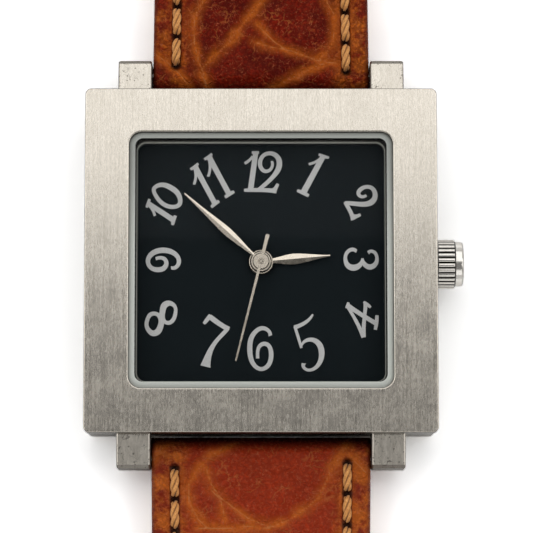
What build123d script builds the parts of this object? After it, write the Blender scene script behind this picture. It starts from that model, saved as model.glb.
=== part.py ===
"""Square wristwatch with a quartz movement, a brushed steel case and a two-piece leather strap.

Frame: millimetres, +X towards the crown, +Y towards twelve o'clock, +Z out of the dial.
The origin is the centre of the case back's outer face. The watch lies on its back
with the strap open and straight, one half towards +Y and the other towards -Y.
"""

import os
from math import asin, atan2, cos, degrees, hypot, radians, sin

from build123d import *

os.makedirs("parts", exist_ok=True)

# Fits and cuts shared by all pieces
overrun = 1.0
slip = 0.05
pivot_slip = 0.03
snug = 0.02
edge_break = 0.15

# Case: bezel on the case middle, on the back
case_width = 35.4
case_length = 34.7
case_corner = 0.6
bezel_height = 2.0
middle_height = 5.3
middle_inset = 0.08
middle_edge = 0.18
back_height = 0.9
side_wall = 3.0
end_wall = 2.85
bore_width = case_width - 2 * side_wall
bore_length = case_length - 2 * end_wall
bore_corner = 4.5
post_inset = 2.7
peg_radius = 0.6
peg_length = 1.5
seal_offset = 0.45
seal_width = 0.55
seal_height = 0.35
seal_room = 0.03

# Bezel opening and crystal
bezel_side = 4.45
bezel_end = 4.45
opening_width = case_width - 2 * bezel_side
opening_length = case_length - 2 * bezel_end
opening_corner = 1.3
seat_width = 0.7
seat_height = 0.5
crystal_height = 1.1
crystal_bevel_width = 0.5
crystal_bevel_depth = 0.25
crystal_gasket_height = 0.2

# Lugs and spring bars
lug_gap = 22.2
lug_width = 3.4
lug_reach = 3.4
lug_root_height = 4.9
lug_tip_height = 4.5
lug_nose = 0.35
lug_nose_drop = 0.35
lug_foot = 0.5
lug_edge = 0.2
bar_reach = 2.15
bar_height = 2.6
bar_radius = 0.75
bar_bore_radius = 0.55
bar_lip = 0.2
bar_end_gap = 0.4
bar_tip_radius = 0.4
bar_tip_depth = 0.8
bar_shank_length = 3.05
bar_spring_hole = 0.3
lug_hole_depth = 1.0

# Case back and its screws
back_rim = 1.1
back_corner = 2.0
back_edge = 0.3
boss_height = 0.6
screw_head_radius = 0.95
screw_head_height = 0.5
screw_recess = 0.1
screw_radius = 0.5
screw_length = 2.5
screw_slot_width = 0.25
screw_slot_depth = 0.22

# Dial, dial ring and numerals
dial_height = 0.4
dial_ring_height = 0.8
dial_hole_radius = 0.8
window_side_step = 0.85
window_end_step = 0.9
dial_window_width = opening_width - 2 * window_side_step
dial_window_length = opening_length - 2 * window_end_step
dial_reach = min(dial_window_width, dial_window_length) / 2
dial_window_corner = 0.8
dial_ring_flare = 0.15
dial_foot_radius = 0.35
dial_foot_length = 1.4
dial_foot_angle = 150
numeral_cell = 0.829 * dial_reach
numeral_height = 0.08

# Movement: plate, bridge, battery, coil and board. In plan they are shares of the plate's
# radius, as a smaller case takes a smaller movement.
ring_wall = 2.5
plate_radius = min(bore_width, bore_length) / 2 - ring_wall
plate_height = 1.0
plate_rim_height = 0.8
plate_recess_radius = 0.91667 * plate_radius
ring_ledge_radius = 0.95833 * plate_radius
dial_foot_place = 0.8333 * plate_radius
train_space = 1.05
bridge_height = 0.35
bridge_eye_radius = 0.075 * plate_radius
bridge_foot_radius = 0.06667 * plate_radius
bridge_foot_a = (-0.35833 * plate_radius, 0.06667 * plate_radius)
bridge_foot_b = (0.38333 * plate_radius, 0.21667 * plate_radius)
battery_radius = 0.28333 * plate_radius
battery_height = 1.65
battery_x = -0.5 * plate_radius
battery_y = -0.43333 * plate_radius
battery_edge = 0.2
clamp_height = 0.15
clamp_width = 0.2 * plate_radius
clamp_screw_x = -0.71667 * plate_radius
clamp_screw_y = -0.025 * plate_radius
clamp_reach = 0.16667 * plate_radius
stator_height = 0.44
stator_hole_radius = 0.07083 * plate_radius
stator_ring_radius = 0.125 * plate_radius
coil_y = 0.7 * plate_radius
coil_half_span = 0.41667 * plate_radius
coil_ear_radius = 0.075 * plate_radius
coil_core_width = 0.06667 * plate_radius
coil_core_height = 0.45
coil_radius = 0.05167 * plate_radius
coil_length = 0.41667 * plate_radius
board_height = 0.2
board_width = 0.7 * plate_radius
board_length = 0.3 * plate_radius
board_x = 0.2 * plate_radius
board_y = -0.65 * plate_radius
board_corner = 0.6
chip_size = 0.15 * plate_radius
chip_height = 0.5
chip_x = 0.01667 * plate_radius
can_radius = 0.55
can_length = 0.38333 * plate_radius
can_x = 0.3 * plate_radius
can_y = -0.70833 * plate_radius
board_screw_x = 0.43333 * plate_radius
board_screw_y = -0.56667 * plate_radius
small_head_radius = 0.04583 * plate_radius
small_head_height = 0.22
small_screw_radius = 0.025 * plate_radius
small_screw_bite = 0.7

# Going train and motion work
tooth_share = 0.4
tip_share = 0.8
root_share = 1.1
wheel_height = 0.12
arbor_radius = 0.01667 * plate_radius
pivot_radius = 0.12
pivot_bite = 0.4
train_distance = 0.255 * plate_radius
motion_distance = 0.2 * plate_radius
third_angle = -30
second_wheel_rise = 0.07
second_pinion_height = 0.22
third_wheel_rise = 0.23
third_pinion_height = 0.56
intermediate_pinion_rise = 0.04
intermediate_pinion_height = 0.17
intermediate_wheel_rise = 0.43
rotor_pinion_rise = 0.39
rotor_pinion_height = 0.18
magnet_rise = 0.63
magnet_height = 0.34
magnet_radius = 0.05417 * plate_radius
centre_wheel_rise = 0.77
second_teeth = 40
second_pinion_teeth = 8
third_teeth = 60
third_pinion_teeth = 8
centre_teeth = 64
intermediate_teeth = 48
intermediate_pinion_teeth = 8
rotor_teeth = 8
cannon_teeth = 12
minute_teeth = 36
minute_pinion_teeth = 10
hour_teeth = 40
setting_teeth = 20
rotor_module = 0.00667 * plate_radius
intermediate_module = 0.00833 * plate_radius
motion_lift = 0.06
motion_wheel_height = 0.14
cannon_height = 0.24
hour_wheel_lift = 0.36
minute_tube_radius = 0.02917 * plate_radius
hour_tube_radius = 0.05417 * plate_radius
post_radius = 0.01667 * plate_radius
post_height = 0.6

# Hands
hour_hand_lift = 0.45
hour_hand_height = 0.22
hour_hand_length = 0.5833 * dial_reach
hour_hand_width = 1.08
hour_hub_radius = 1.33
minute_hand_lift = 0.8
minute_hand_height = 0.2
minute_hand_length = 0.8625 * dial_reach
minute_hand_width = 0.84
minute_hub_radius = 1.1
second_hand_lift = 1.1
second_hand_height = 0.14
second_hand_length = 0.8642 * dial_reach
second_hand_width = 0.27
second_tail_length = 0.2333 * dial_reach
second_tail_width = 0.38
second_hub_radius = 0.85
second_cap_radius = 0.3
second_cap_height = 0.08
second_dimple_radius = 0.18
second_dimple_depth = 0.06
second_dimple_slope = 45
hub_slope = 30
# Blade outlines: half widths in shares of the width, distances in shares of the length
hour_hand_shares = [
    (0.2, 0.0), (0.21, 0.17), (0.37, 0.31), (0.5, 0.457), (0.43, 0.6), (0.29, 0.74), (0.14, 0.886), (0.075, 1.0)
]
minute_hand_shares = [
    (0.16, 0.0), (0.18, 0.13), (0.375, 0.29), (0.5, 0.435), (0.405, 0.58), (0.24, 0.75), (0.165, 0.87), (0.08, 1.0)
]
hour_angle = 84.9
minute_angle = 311.8
second_angle = 194.1

# Crown, stem and setting levers
stem_height = 4.0
stem_radius = 0.45
stem_neck_radius = 0.22
stem_square = 0.6
crown_gap = 0.28
crown_radius = 2.5
crown_length = 1.75
crown_edge = 0.25
crown_ribs = 29
crown_rib_radius = 0.26
crown_root_radius = 2.3
crown_cap_radius = 2.27
crown_cap_height = 0.8
crown_cap_round = 0.25
crown_cavity_radius = 1.75
crown_cavity_depth = 1.35
crown_post_radius = 0.7
crown_post_reach = 0.9
crown_travel = 0.9
stem_grip = 1.0
crown_tube_radius = 1.25
crown_tube_bore = 0.75
crown_tube_reach = 1.38
crown_tube_hold = 2.7
crown_gasket_width = 0.45
crown_gasket_length = 0.45
crown_gasket_set = 0.12
stem_channel = 0.55
stem_inner_end = 0.47917 * plate_radius
channel_start = 0.475 * plate_radius
square_start = 0.53333 * plate_radius
square_end = 0.72917 * plate_radius
lever_groove_x = 0.775 * plate_radius
lever_groove_width = 0.04167 * plate_radius
pinion_start = 0.575 * plate_radius
pinion_length = 0.13333 * plate_radius
pinion_radius = 0.7
pinion_groove_radius = 0.0375 * plate_radius
pinion_groove_x = 0.64167 * plate_radius
pinion_groove_width = 0.02833 * plate_radius
pinion_pocket_half = 0.95
pinion_pocket_start = 0.51667 * plate_radius
pinion_pocket_end = 0.75 * plate_radius
pinion_travel = 0.5
lever_arm = 0.25 * plate_radius
lever_width = 0.05833 * plate_radius
lever_height = 0.15
lever_stud_radius = 0.0125 * plate_radius
lever_lift = 0.35
yoke_lift = 0.55
yoke_height = 0.13
yoke_stud_radius = 0.01 * plate_radius
stud_clear = 0.04

# Strap
strap_width = 22.0
strap_end_width = 20.0
strap_root_radius = 2.0
strap_bar_clearance = 0.1
root_round_share = 0.95
upper_length = 75.0
upper_top_height = 4.4
upper_under_height = 1.6
lower_length = 116.0
lower_top_height = 2.1
strap_edge = 0.5
lining_height = 0.8
lining_start = 3.2
lining_stop = 6.5
tip_length = 9.0
tip_round = 5.0
tip_shoulder_round = 8.0
hole_radius = 1.0
hole_pitch = 6.5
hole_count = 7
last_hole_inset = 21.0
first_hole = lower_length - last_hole_inset - (hole_count - 1) * hole_pitch
stitch_inset = 2.35
stitch_length = 2.6
stitch_width = 0.75
stitch_height = 0.22
stitch_pitch = 3.1
stitch_start = 0.85
upper_stitch_stop = 8.0
lower_stitch_stop = 12.0
tongue_slot_width = 2.7
tongue_slot_length = 3.4

# Keepers and buckle
keeper_leather = 1.05
keeper_room_width = 0.25
keeper_room_height = 5.4
keeper_length = 5.5
keeper_corner = 1.4
keeper_floor = 0.05
fixed_keeper_inset = 8.0
keeper_spacing = 7.5
fixed_keeper_place = upper_length - fixed_keeper_inset
free_keeper_place = fixed_keeper_place - keeper_spacing
free_keeper_travel = 14.0
buckle_bar_radius = 0.75
buckle_tip_radius = 0.4
frame_room = 0.2
frame_arm = 2.0
frame_length = 11.5
frame_front = 2.2
frame_height = 2.0
frame_back = 1.3
frame_corner = 1.8
frame_edge = 0.45
buckle_tip_depth = 1.2
frame_hole_depth = 1.3
tongue_width = 2.2
tongue_root_radius = 1.3
tongue_height = 0.9
tongue_rest = 0.03
tongue_overhang = 0.6
tongue_flat = 2.6

# Levels and places worked out from the sizes above
middle_top = back_height + middle_height
bezel_top = middle_top + bezel_height
middle_width = case_width - 2 * middle_inset
middle_length = case_length - 2 * middle_inset
post_x = case_width / 2 - post_inset
post_y = case_length / 2 - post_inset
boss_top = back_height + boss_height
groove_outer = seal_offset + seal_width
seat_top = middle_top + seat_height
crystal_bottom = seat_top + crystal_gasket_height
dial_top = middle_top - dial_ring_height
dial_bottom = dial_top - dial_height
plate_floor = dial_bottom - plate_rim_height
plate_bottom = plate_floor - plate_height
bridge_top = plate_bottom - train_space
bridge_bottom = bridge_top - bridge_height
lug_inner = lug_gap / 2
lug_tip_y = case_length / 2 + lug_reach
bar_y = case_length / 2 + bar_reach
bar_half = lug_inner - bar_end_gap
strap_root_top = bar_height + strap_root_radius
strap_root_under = bar_height - strap_root_radius
upper_end_y = bar_y + upper_length
lower_end_y = bar_y + lower_length
buckle_height = (upper_top_height + upper_under_height) / 2
end_loop_radius = (upper_top_height - upper_under_height) / 2
third_x = train_distance * cos(radians(third_angle))
third_y = train_distance * sin(radians(third_angle))
fine_module = 2 * train_distance / (second_pinion_teeth + third_teeth)
centre_module = 2 * train_distance / (third_pinion_teeth + centre_teeth)
intermediate_y = intermediate_module * (second_teeth + intermediate_pinion_teeth) / 2
rotor_y = intermediate_y + rotor_module * (intermediate_teeth + rotor_teeth) / 2
motion_module = 2 * motion_distance / (cannon_teeth + minute_teeth)
hour_module = 2 * motion_distance / (minute_pinion_teeth + hour_teeth)
setting_x = motion_distance + motion_module * (minute_teeth + setting_teeth) / 2
stator_bottom = plate_bottom - stator_height
core_bottom = stator_bottom - coil_core_height
clamp_top = boss_top + slip + small_head_height + clamp_height
battery_top = clamp_top + slip + battery_height
crown_start = middle_width / 2 + crown_gap


def mesh_phase(from_x, from_y, to_x, to_y, teeth, gap):
    """Angle of a wheel's first tooth: on the line to its mate, or half a pitch off it."""
    towards = degrees(atan2(to_y - from_y, to_x - from_x))
    half_pitch = 180 / teeth if gap else 0
    return towards + half_pitch


def wheel_outline(teeth, module, phase):
    """Root circle with straight-sided teeth, added to the open sketch."""
    pitch_radius = teeth * module / 2
    root_radius = pitch_radius - root_share * module
    tip_radius = pitch_radius + tip_share * module
    pitch_arc = 2 * pitch_radius * radians(180 / teeth)
    root_half = tooth_share * pitch_arc * 0.75
    tip_half = tooth_share * pitch_arc * 0.35
    sunk = root_share * module / 4
    tooth = [
        (-sunk, -root_half),
        (tip_radius - root_radius, -tip_half),
        (tip_radius - root_radius, tip_half),
        (-sunk, root_half),
    ]
    Circle(root_radius)
    with PolarLocations(root_radius, teeth, start_angle=phase):
        Polygon(*tooth, align=None)


def level(x, y, z):
    """Flat sketch plane through a point, facing +Z."""
    return Plane(origin=(x, y, z))


def across(x, y, z):
    """Sketch plane through a point, facing +X, with +Y to the right and +Z up."""
    return Plane(origin=(x, y, z), x_dir=(0, 1, 0), z_dir=(1, 0, 0))


def save(piece, name):
    """Label a finished piece and write its file."""
    piece.part.label = name
    export_step(piece.part, f"parts/{name}.step")


# Case middle: one brushed block with the bore and four lugs
lug_profile = [
    (case_length / 2 - overrun, back_height),
    (case_length / 2 - overrun, lug_root_height + back_height),
    (case_length / 2, lug_root_height + back_height),
    (lug_tip_y - lug_nose, lug_tip_height + back_height),
    (lug_tip_y, lug_tip_height + back_height - lug_nose_drop),
    (lug_tip_y, back_height + lug_foot),
    (lug_tip_y - lug_foot, back_height),
]
with BuildPart() as case_middle:
    with BuildSketch(Plane.XY.offset(back_height)):
        RectangleRounded(middle_width, middle_length, case_corner)
    extrude(amount=middle_height)
    chamfer(case_middle.faces().sort_by(Axis.Z)[-1].edges(), middle_edge)
    for start in (lug_inner, -lug_inner - lug_width):
        for end in (-1, 1):
            with BuildSketch(across(start, 0, 0)):
                with BuildLine():
                    Polyline(*[(end * y, z) for y, z in lug_profile], close=True)
                make_face()
            extrude(amount=lug_width)
    lug_edges = [
        edge
        for edge in case_middle.edges()
        if abs(edge.center().Y) > case_length / 2 + lug_edge
        and abs(edge.tangent_at(0.5).X) < 0.5
    ]
    fillet(lug_edges, lug_edge)
    with BuildSketch(Plane.XY.offset(back_height)):
        RectangleRounded(bore_width, bore_length, bore_corner)
    extrude(amount=middle_height, mode=Mode.SUBTRACT)
    with BuildSketch(Plane.XY.offset(back_height)):
        RectangleRounded(
            bore_width + 2 * groove_outer, bore_length + 2 * groove_outer, bore_corner + groove_outer
        )
        RectangleRounded(
            bore_width + 2 * seal_offset,
            bore_length + 2 * seal_offset,
            bore_corner + seal_offset,
            mode=Mode.SUBTRACT,
        )
    extrude(amount=seal_height + seal_room, mode=Mode.SUBTRACT)
    with BuildSketch(Plane.XY.offset(back_height)):
        with GridLocations(2 * post_x, 2 * post_y, 2, 2):
            Circle(screw_radius + snug)
    extrude(amount=screw_length, mode=Mode.SUBTRACT)
    with BuildSketch(Plane.XY.offset(middle_top)):
        with GridLocations(2 * post_x, 2 * post_y, 2, 2):
            Circle(peg_radius + snug)
    extrude(amount=-peg_length - snug, mode=Mode.SUBTRACT)
    with BuildSketch(across(0, 0, stem_height)):
        Circle(crown_tube_radius + snug)
    extrude(amount=case_width / 2 + overrun, mode=Mode.SUBTRACT)
    for side in (-1, 1):
        with BuildSketch(across(side * lug_inner, 0, bar_height)):
            with Locations((-bar_y, 0), (bar_y, 0)):
                Circle(bar_tip_radius + slip)
        extrude(amount=side * lug_hole_depth, mode=Mode.SUBTRACT)
save(case_middle, "case_middle")

# Gasket in the groove of the case middle, pressed by the case back
gasket_outer = groove_outer - seal_room
gasket_inner = seal_offset + seal_room
with BuildPart() as case_back_gasket:
    with BuildSketch(Plane.XY.offset(back_height)):
        RectangleRounded(
            bore_width + 2 * gasket_outer, bore_length + 2 * gasket_outer, bore_corner + gasket_outer
        )
        RectangleRounded(
            bore_width + 2 * gasket_inner,
            bore_length + 2 * gasket_inner,
            bore_corner + gasket_inner,
            mode=Mode.SUBTRACT,
        )
    extrude(amount=seal_height)
save(case_back_gasket, "case_back_gasket")

# Bezel: a flat frame with a seat for the crystal and four pegs
seat_inner_width = opening_width - 2 * seat_width
seat_inner_length = opening_length - 2 * seat_width
with BuildPart() as bezel:
    with BuildSketch(Plane.XY.offset(middle_top)):
        RectangleRounded(case_width, case_length, case_corner)
    extrude(amount=bezel_height)
    fillet(bezel.faces().sort_by(Axis.Z)[-1].edges(), edge_break)
    with BuildSketch(Plane.XY.offset(middle_top)):
        RectangleRounded(seat_inner_width, seat_inner_length, opening_corner - seat_width / 2)
    extrude(amount=bezel_height, mode=Mode.SUBTRACT)
    with BuildSketch(Plane.XY.offset(seat_top)):
        RectangleRounded(opening_width, opening_length, opening_corner)
    extrude(amount=bezel_height - seat_height, mode=Mode.SUBTRACT)
    fillet(bezel.faces().sort_by(Axis.Z)[-1].inner_wires()[0].edges(), edge_break)
    with BuildSketch(Plane.XY.offset(middle_top)):
        with GridLocations(2 * post_x, 2 * post_y, 2, 2):
            Circle(peg_radius)
    extrude(amount=-peg_length)
save(bezel, "bezel")

# Crystal: flat mineral glass with a bevelled rim, on a flat gasket
crystal_width = opening_width - 2 * snug
crystal_length = opening_length - 2 * snug
with BuildPart() as crystal:
    with BuildSketch(Plane.XY.offset(crystal_bottom)):
        RectangleRounded(crystal_width, crystal_length, opening_corner - snug)
    extrude(amount=crystal_height - crystal_bevel_depth)
    with BuildSketch(Plane.XY.offset(crystal_bottom + crystal_height - crystal_bevel_depth)):
        RectangleRounded(crystal_width, crystal_length, opening_corner - snug)
    with BuildSketch(Plane.XY.offset(crystal_bottom + crystal_height)):
        RectangleRounded(
            crystal_width - 2 * crystal_bevel_width,
            crystal_length - 2 * crystal_bevel_width,
            opening_corner - crystal_bevel_width,
        )
    loft()
save(crystal, "crystal")

with BuildPart() as crystal_gasket:
    with BuildSketch(Plane.XY.offset(seat_top)):
        RectangleRounded(crystal_width, crystal_length, opening_corner - snug)
        RectangleRounded(
            seat_inner_width, seat_inner_length, opening_corner - seat_width / 2, mode=Mode.SUBTRACT
        )
    extrude(amount=crystal_gasket_height)
save(crystal_gasket, "crystal_gasket")

# Case back: a plate with a raised boss, held by four screws
with BuildPart() as case_back:
    with BuildSketch(Plane.XY):
        RectangleRounded(case_width - 2 * back_rim, case_length - 2 * back_rim, back_corner)
    extrude(amount=back_height)
    chamfer(case_back.faces().sort_by(Axis.Z)[0].edges(), back_edge)
    with BuildSketch(Plane.XY.offset(back_height)):
        RectangleRounded(bore_width - 2 * slip, bore_length - 2 * slip, bore_corner - slip)
    extrude(amount=boss_height)
    with BuildSketch(Plane.XY):
        with GridLocations(2 * post_x, 2 * post_y, 2, 2):
            Circle(screw_radius + slip)
    extrude(amount=back_height, mode=Mode.SUBTRACT)
    with BuildSketch(Plane.XY):
        with GridLocations(2 * post_x, 2 * post_y, 2, 2):
            Circle(screw_head_radius + slip)
    extrude(amount=screw_recess + screw_head_height, mode=Mode.SUBTRACT)
save(case_back, "case_back")

with BuildPart() as case_back_screws:
    with BuildSketch(Plane.XY.offset(screw_recess)):
        with GridLocations(2 * post_x, 2 * post_y, 2, 2):
            Circle(screw_head_radius)
    extrude(amount=screw_head_height)
    with BuildSketch(Plane.XY.offset(screw_recess)):
        with GridLocations(2 * post_x, 2 * post_y, 2, 2):
            Circle(screw_radius)
    extrude(amount=screw_head_height + screw_length)
    with BuildSketch(Plane.XY.offset(screw_recess)):
        with GridLocations(2 * post_x, 2 * post_y, 2, 2):
            Rectangle(2 * screw_head_radius, screw_slot_width, rotation=35)
    extrude(amount=screw_slot_depth, mode=Mode.SUBTRACT)
save(case_back_screws, "case_back_screws")

# Dial with its two feet, and the sloping dial ring round it
dial_width = bore_width - 2 * slip
dial_length = bore_length - 2 * slip
dial_corner = bore_corner - slip
foot_x = dial_foot_place * cos(radians(dial_foot_angle))
foot_y = dial_foot_place * sin(radians(dial_foot_angle))
with BuildPart() as dial:
    with BuildSketch(Plane.XY.offset(dial_bottom)):
        RectangleRounded(dial_width, dial_length, dial_corner)
        Circle(dial_hole_radius, mode=Mode.SUBTRACT)
    extrude(amount=dial_height)
    with BuildSketch(Plane.XY.offset(dial_bottom)):
        with Locations((foot_x, foot_y), (-foot_x, -foot_y)):
            Circle(dial_foot_radius)
    extrude(amount=-dial_foot_length)
save(dial, "dial")

with BuildPart() as dial_ring:
    with BuildSketch(Plane.XY.offset(dial_top)):
        RectangleRounded(dial_width, dial_length, dial_corner)
    extrude(amount=dial_ring_height)
    with BuildSketch(Plane.XY.offset(dial_top)):
        RectangleRounded(dial_window_width, dial_window_length, dial_window_corner)
    with BuildSketch(Plane.XY.offset(dial_top + dial_ring_height)):
        RectangleRounded(
            dial_window_width + 2 * dial_ring_flare,
            dial_window_length + 2 * dial_ring_flare,
            dial_window_corner + dial_ring_flare,
        )
    loft(mode=Mode.SUBTRACT)
save(dial_ring, "dial_ring")

# Numerals: pen strokes, each a list of (x, y, width) in shares of the numeral cell,
# drawn upright about the cell's centre. A closed stroke ends where it starts.
slab_one_shares = [
    [(0.014, 0.245, 0.054), (0.009, 0.02, 0.058), (0.003, -0.2, 0.063)],
    [(-0.036, 0.232, 0.022), (0.018, 0.236, 0.03), (0.074, 0.246, 0.024)],
    [(-0.063, -0.2, 0.028), (0.003, -0.196, 0.036), (0.068, -0.196, 0.032)],
    [(0.005, 0.215, 0.03), (-0.03, 0.145, 0.026), (-0.08, 0.094, 0.026)],
]
two_shares = [
    [
        (-0.045, 0.09, 0.028),
        (-0.042, 0.062, 0.03),
        (-0.066, 0.03, 0.034),
        (-0.098, 0.028, 0.04),
        (-0.122, 0.062, 0.042),
        (-0.124, 0.113, 0.038),
        (-0.09, 0.169, 0.04),
        (-0.03, 0.18, 0.046),
        (0.023, 0.15, 0.054),
        (0.045, 0.098, 0.058),
        (0.034, 0.04, 0.052),
        (0.0, -0.023, 0.046),
        (-0.045, -0.09, 0.042),
        (-0.076, -0.14, 0.036),
    ],
    [(-0.084, -0.134, 0.036), (0.0, -0.132, 0.04), (0.07, -0.136, 0.042), (0.118, -0.146, 0.052)],
    [(0.088, -0.13, 0.05), (0.102, -0.092, 0.034), (0.104, -0.056, 0.03)],
]
three_shares = [
    [
        (-0.064, 0.076, 0.036),
        (-0.083, 0.104, 0.032),
        (-0.066, 0.144, 0.034),
        (-0.014, 0.164, 0.034),
        (0.046, 0.15, 0.046),
        (0.079, 0.096, 0.054),
        (0.055, 0.042, 0.046),
        (-0.008, 0.017, 0.024),
    ],
    [
        (-0.008, 0.017, 0.024),
        (0.052, -0.004, 0.046),
        (0.086, -0.066, 0.062),
        (0.066, -0.128, 0.054),
        (0.0, -0.156, 0.038),
        (-0.068, -0.14, 0.036),
        (-0.1, -0.09, 0.038),
        (-0.08, -0.042, 0.034),
    ],
]
four_shares = [
    [(0.037, 0.185, 0.05), (0.029, 0.05, 0.043), (0.024, -0.08, 0.044), (0.024, -0.155, 0.046)],
    [(0.008, 0.186, 0.022), (0.04, 0.188, 0.03), (0.07, 0.194, 0.024)],
    [(-0.036, -0.178, 0.032), (0.026, -0.156, 0.038), (0.1, -0.12, 0.032)],
    [(0.02, 0.168, 0.03), (-0.04, 0.06, 0.034), (-0.11, -0.045, 0.038), (-0.165, -0.112, 0.036)],
    [(-0.16, -0.116, 0.038), (-0.08, -0.068, 0.04), (0.02, -0.02, 0.036), (0.148, 0.038, 0.044)],
    [(0.152, 0.066, 0.022), (0.147, 0.02, 0.032), (0.138, -0.026, 0.024)],
]
five_shares = [
    [(-0.055, 0.182, 0.044), (0.01, 0.178, 0.038), (0.08, 0.184, 0.034), (0.172, 0.224, 0.018)],
    [(-0.046, 0.19, 0.028), (-0.06, 0.08, 0.03), (-0.078, -0.036, 0.026)],
    [
        (-0.066, -0.014, 0.02),
        (0.0, 0.012, 0.034),
        (0.062, -0.01, 0.044),
        (0.1, -0.075, 0.056),
        (0.09, -0.16, 0.058),
        (0.04, -0.236, 0.048),
        (-0.05, -0.28, 0.034),
        (-0.118, -0.262, 0.03),
        (-0.14, -0.22, 0.032),
        (-0.12, -0.188, 0.046),
    ],
]
six_shares = [
    [
        (0.093, 0.13, 0.04),
        (0.074, 0.182, 0.036),
        (0.016, 0.207, 0.042),
        (-0.057, 0.17, 0.045),
        (-0.102, 0.095, 0.05),
        (-0.114, 0.0, 0.052),
        (-0.102, -0.1, 0.048),
        (-0.06, -0.178, 0.042),
        (0.004, -0.208, 0.04),
        (0.066, -0.178, 0.044),
        (0.1, -0.1, 0.046),
        (0.098, -0.016, 0.044),
        (0.07, 0.036, 0.042),
        (0.028, 0.048, 0.042),
        (-0.016, 0.022, 0.038),
        (-0.034, -0.034, 0.034),
        (-0.034, -0.1, 0.034),
    ],
]
seven_shares = [
    [(-0.155, 0.196, 0.05), (-0.08, 0.182, 0.05), (0.0, 0.172, 0.048), (0.078, 0.168, 0.052)],
    [(-0.156, 0.215, 0.03), (-0.163, 0.155, 0.04), (-0.174, 0.104, 0.028)],
    [
        (0.066, 0.175, 0.038),
        (0.046, 0.1, 0.04),
        (0.023, 0.02, 0.04),
        (0.01, -0.08, 0.048),
        (0.018, -0.18, 0.068),
        (0.04, -0.275, 0.104),
    ],
]
eight_shares = [
    [
        (-0.086, 0.106, 0.062),
        (-0.062, 0.158, 0.046),
        (-0.012, 0.172, 0.036),
        (0.046, 0.14, 0.038),
        (0.088, 0.088, 0.04),
        (0.094, 0.04, 0.04),
        (0.066, 0.008, 0.038),
        (0.01, 0.008, 0.05),
        (-0.05, 0.048, 0.06),
        (-0.086, 0.106, 0.062),
    ],
    [
        (-0.076, -0.06, 0.042),
        (-0.04, -0.018, 0.04),
        (0.02, -0.014, 0.054),
        (0.08, -0.06, 0.06),
        (0.108, -0.11, 0.062),
        (0.098, -0.156, 0.058),
        (0.042, -0.179, 0.046),
        (-0.008, -0.17, 0.04),
        (-0.052, -0.132, 0.04),
        (-0.076, -0.06, 0.042),
    ],
]
nine_shares = [
    [
        (0.024, 0.076, 0.032),
        (0.036, 0.038, 0.034),
        (0.022, -0.014, 0.04),
        (-0.022, -0.032, 0.044),
        (-0.07, -0.006, 0.05),
        (-0.086, 0.06, 0.05),
        (-0.064, 0.124, 0.044),
        (0.0, 0.155, 0.044),
        (0.068, 0.124, 0.05),
        (0.106, 0.055, 0.054),
        (0.112, -0.016, 0.054),
        (0.09, -0.096, 0.05),
        (0.042, -0.148, 0.044),
        (-0.016, -0.158, 0.042),
        (-0.06, -0.13, 0.038),
        (-0.066, -0.08, 0.034),
    ],
]
ten_shares = [
    [(-0.106, 0.14, 0.052), (-0.101, 0.0, 0.052), (-0.097, -0.165, 0.054)],
    [(-0.149, 0.132, 0.026), (-0.105, 0.144, 0.03), (-0.061, 0.158, 0.026)],
    [(-0.144, -0.186, 0.03), (-0.098, -0.168, 0.036), (-0.048, -0.156, 0.03)],
    [(-0.118, 0.11, 0.032), (-0.142, 0.052, 0.026), (-0.17, 0.014, 0.028)],
    [
        (0.07, 0.182, 0.04),
        (0.134, 0.136, 0.046),
        (0.16, 0.04, 0.054),
        (0.142, -0.064, 0.05),
        (0.066, -0.122, 0.044),
        (0.002, -0.072, 0.042),
        (-0.022, 0.02, 0.042),
        (0.006, 0.128, 0.04),
        (0.07, 0.182, 0.04),
    ],
]
eleven_shares = [
    [(-0.1, 0.205, 0.058), (-0.1, 0.0, 0.052), (-0.098, -0.222, 0.052)],
    [(-0.155, 0.204, 0.026), (-0.105, 0.208, 0.03), (-0.056, 0.22, 0.026)],
    [(-0.15, -0.238, 0.03), (-0.098, -0.226, 0.036), (-0.05, -0.22, 0.03)],
    [(-0.112, 0.18, 0.034), (-0.14, 0.115, 0.028), (-0.195, 0.05, 0.028)],
    [(0.072, 0.226, 0.058), (0.073, 0.0, 0.053), (0.074, -0.204, 0.054)],
    [(0.018, 0.228, 0.026), (0.07, 0.232, 0.03), (0.115, 0.242, 0.026)],
    [(0.021, -0.214, 0.03), (0.075, -0.208, 0.036), (0.131, -0.206, 0.03)],
    [(0.056, 0.18, 0.034), (0.03, 0.125, 0.028), (-0.03, 0.054, 0.028)],
]
twelve_shares = [
    [(-0.075, 0.225, 0.052), (-0.098, 0.05, 0.054), (-0.126, -0.15, 0.056)],
    [(-0.114, 0.232, 0.026), (-0.076, 0.23, 0.03), (-0.04, 0.232, 0.026)],
    [(-0.104, 0.19, 0.03), (-0.14, 0.15, 0.028), (-0.186, 0.118, 0.03)],
    [(-0.192, -0.158, 0.03), (-0.12, -0.156, 0.038), (0.0, -0.156, 0.04), (0.138, -0.166, 0.05)],
    [
        (0.089, 0.142, 0.028),
        (0.096, 0.096, 0.029),
        (0.068, 0.05, 0.032),
        (0.022, 0.038, 0.037),
        (-0.022, 0.078, 0.042),
        (-0.026, 0.15, 0.042),
        (0.016, 0.208, 0.038),
        (0.084, 0.222, 0.042),
        (0.144, 0.188, 0.05),
        (0.168, 0.122, 0.056),
        (0.154, 0.056, 0.054),
        (0.098, -0.024, 0.044),
        (0.024, -0.096, 0.04),
        (-0.042, -0.15, 0.036),
    ],
    [(0.12, -0.15, 0.046), (0.138, -0.12, 0.034), (0.152, -0.092, 0.03)],
]

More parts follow.
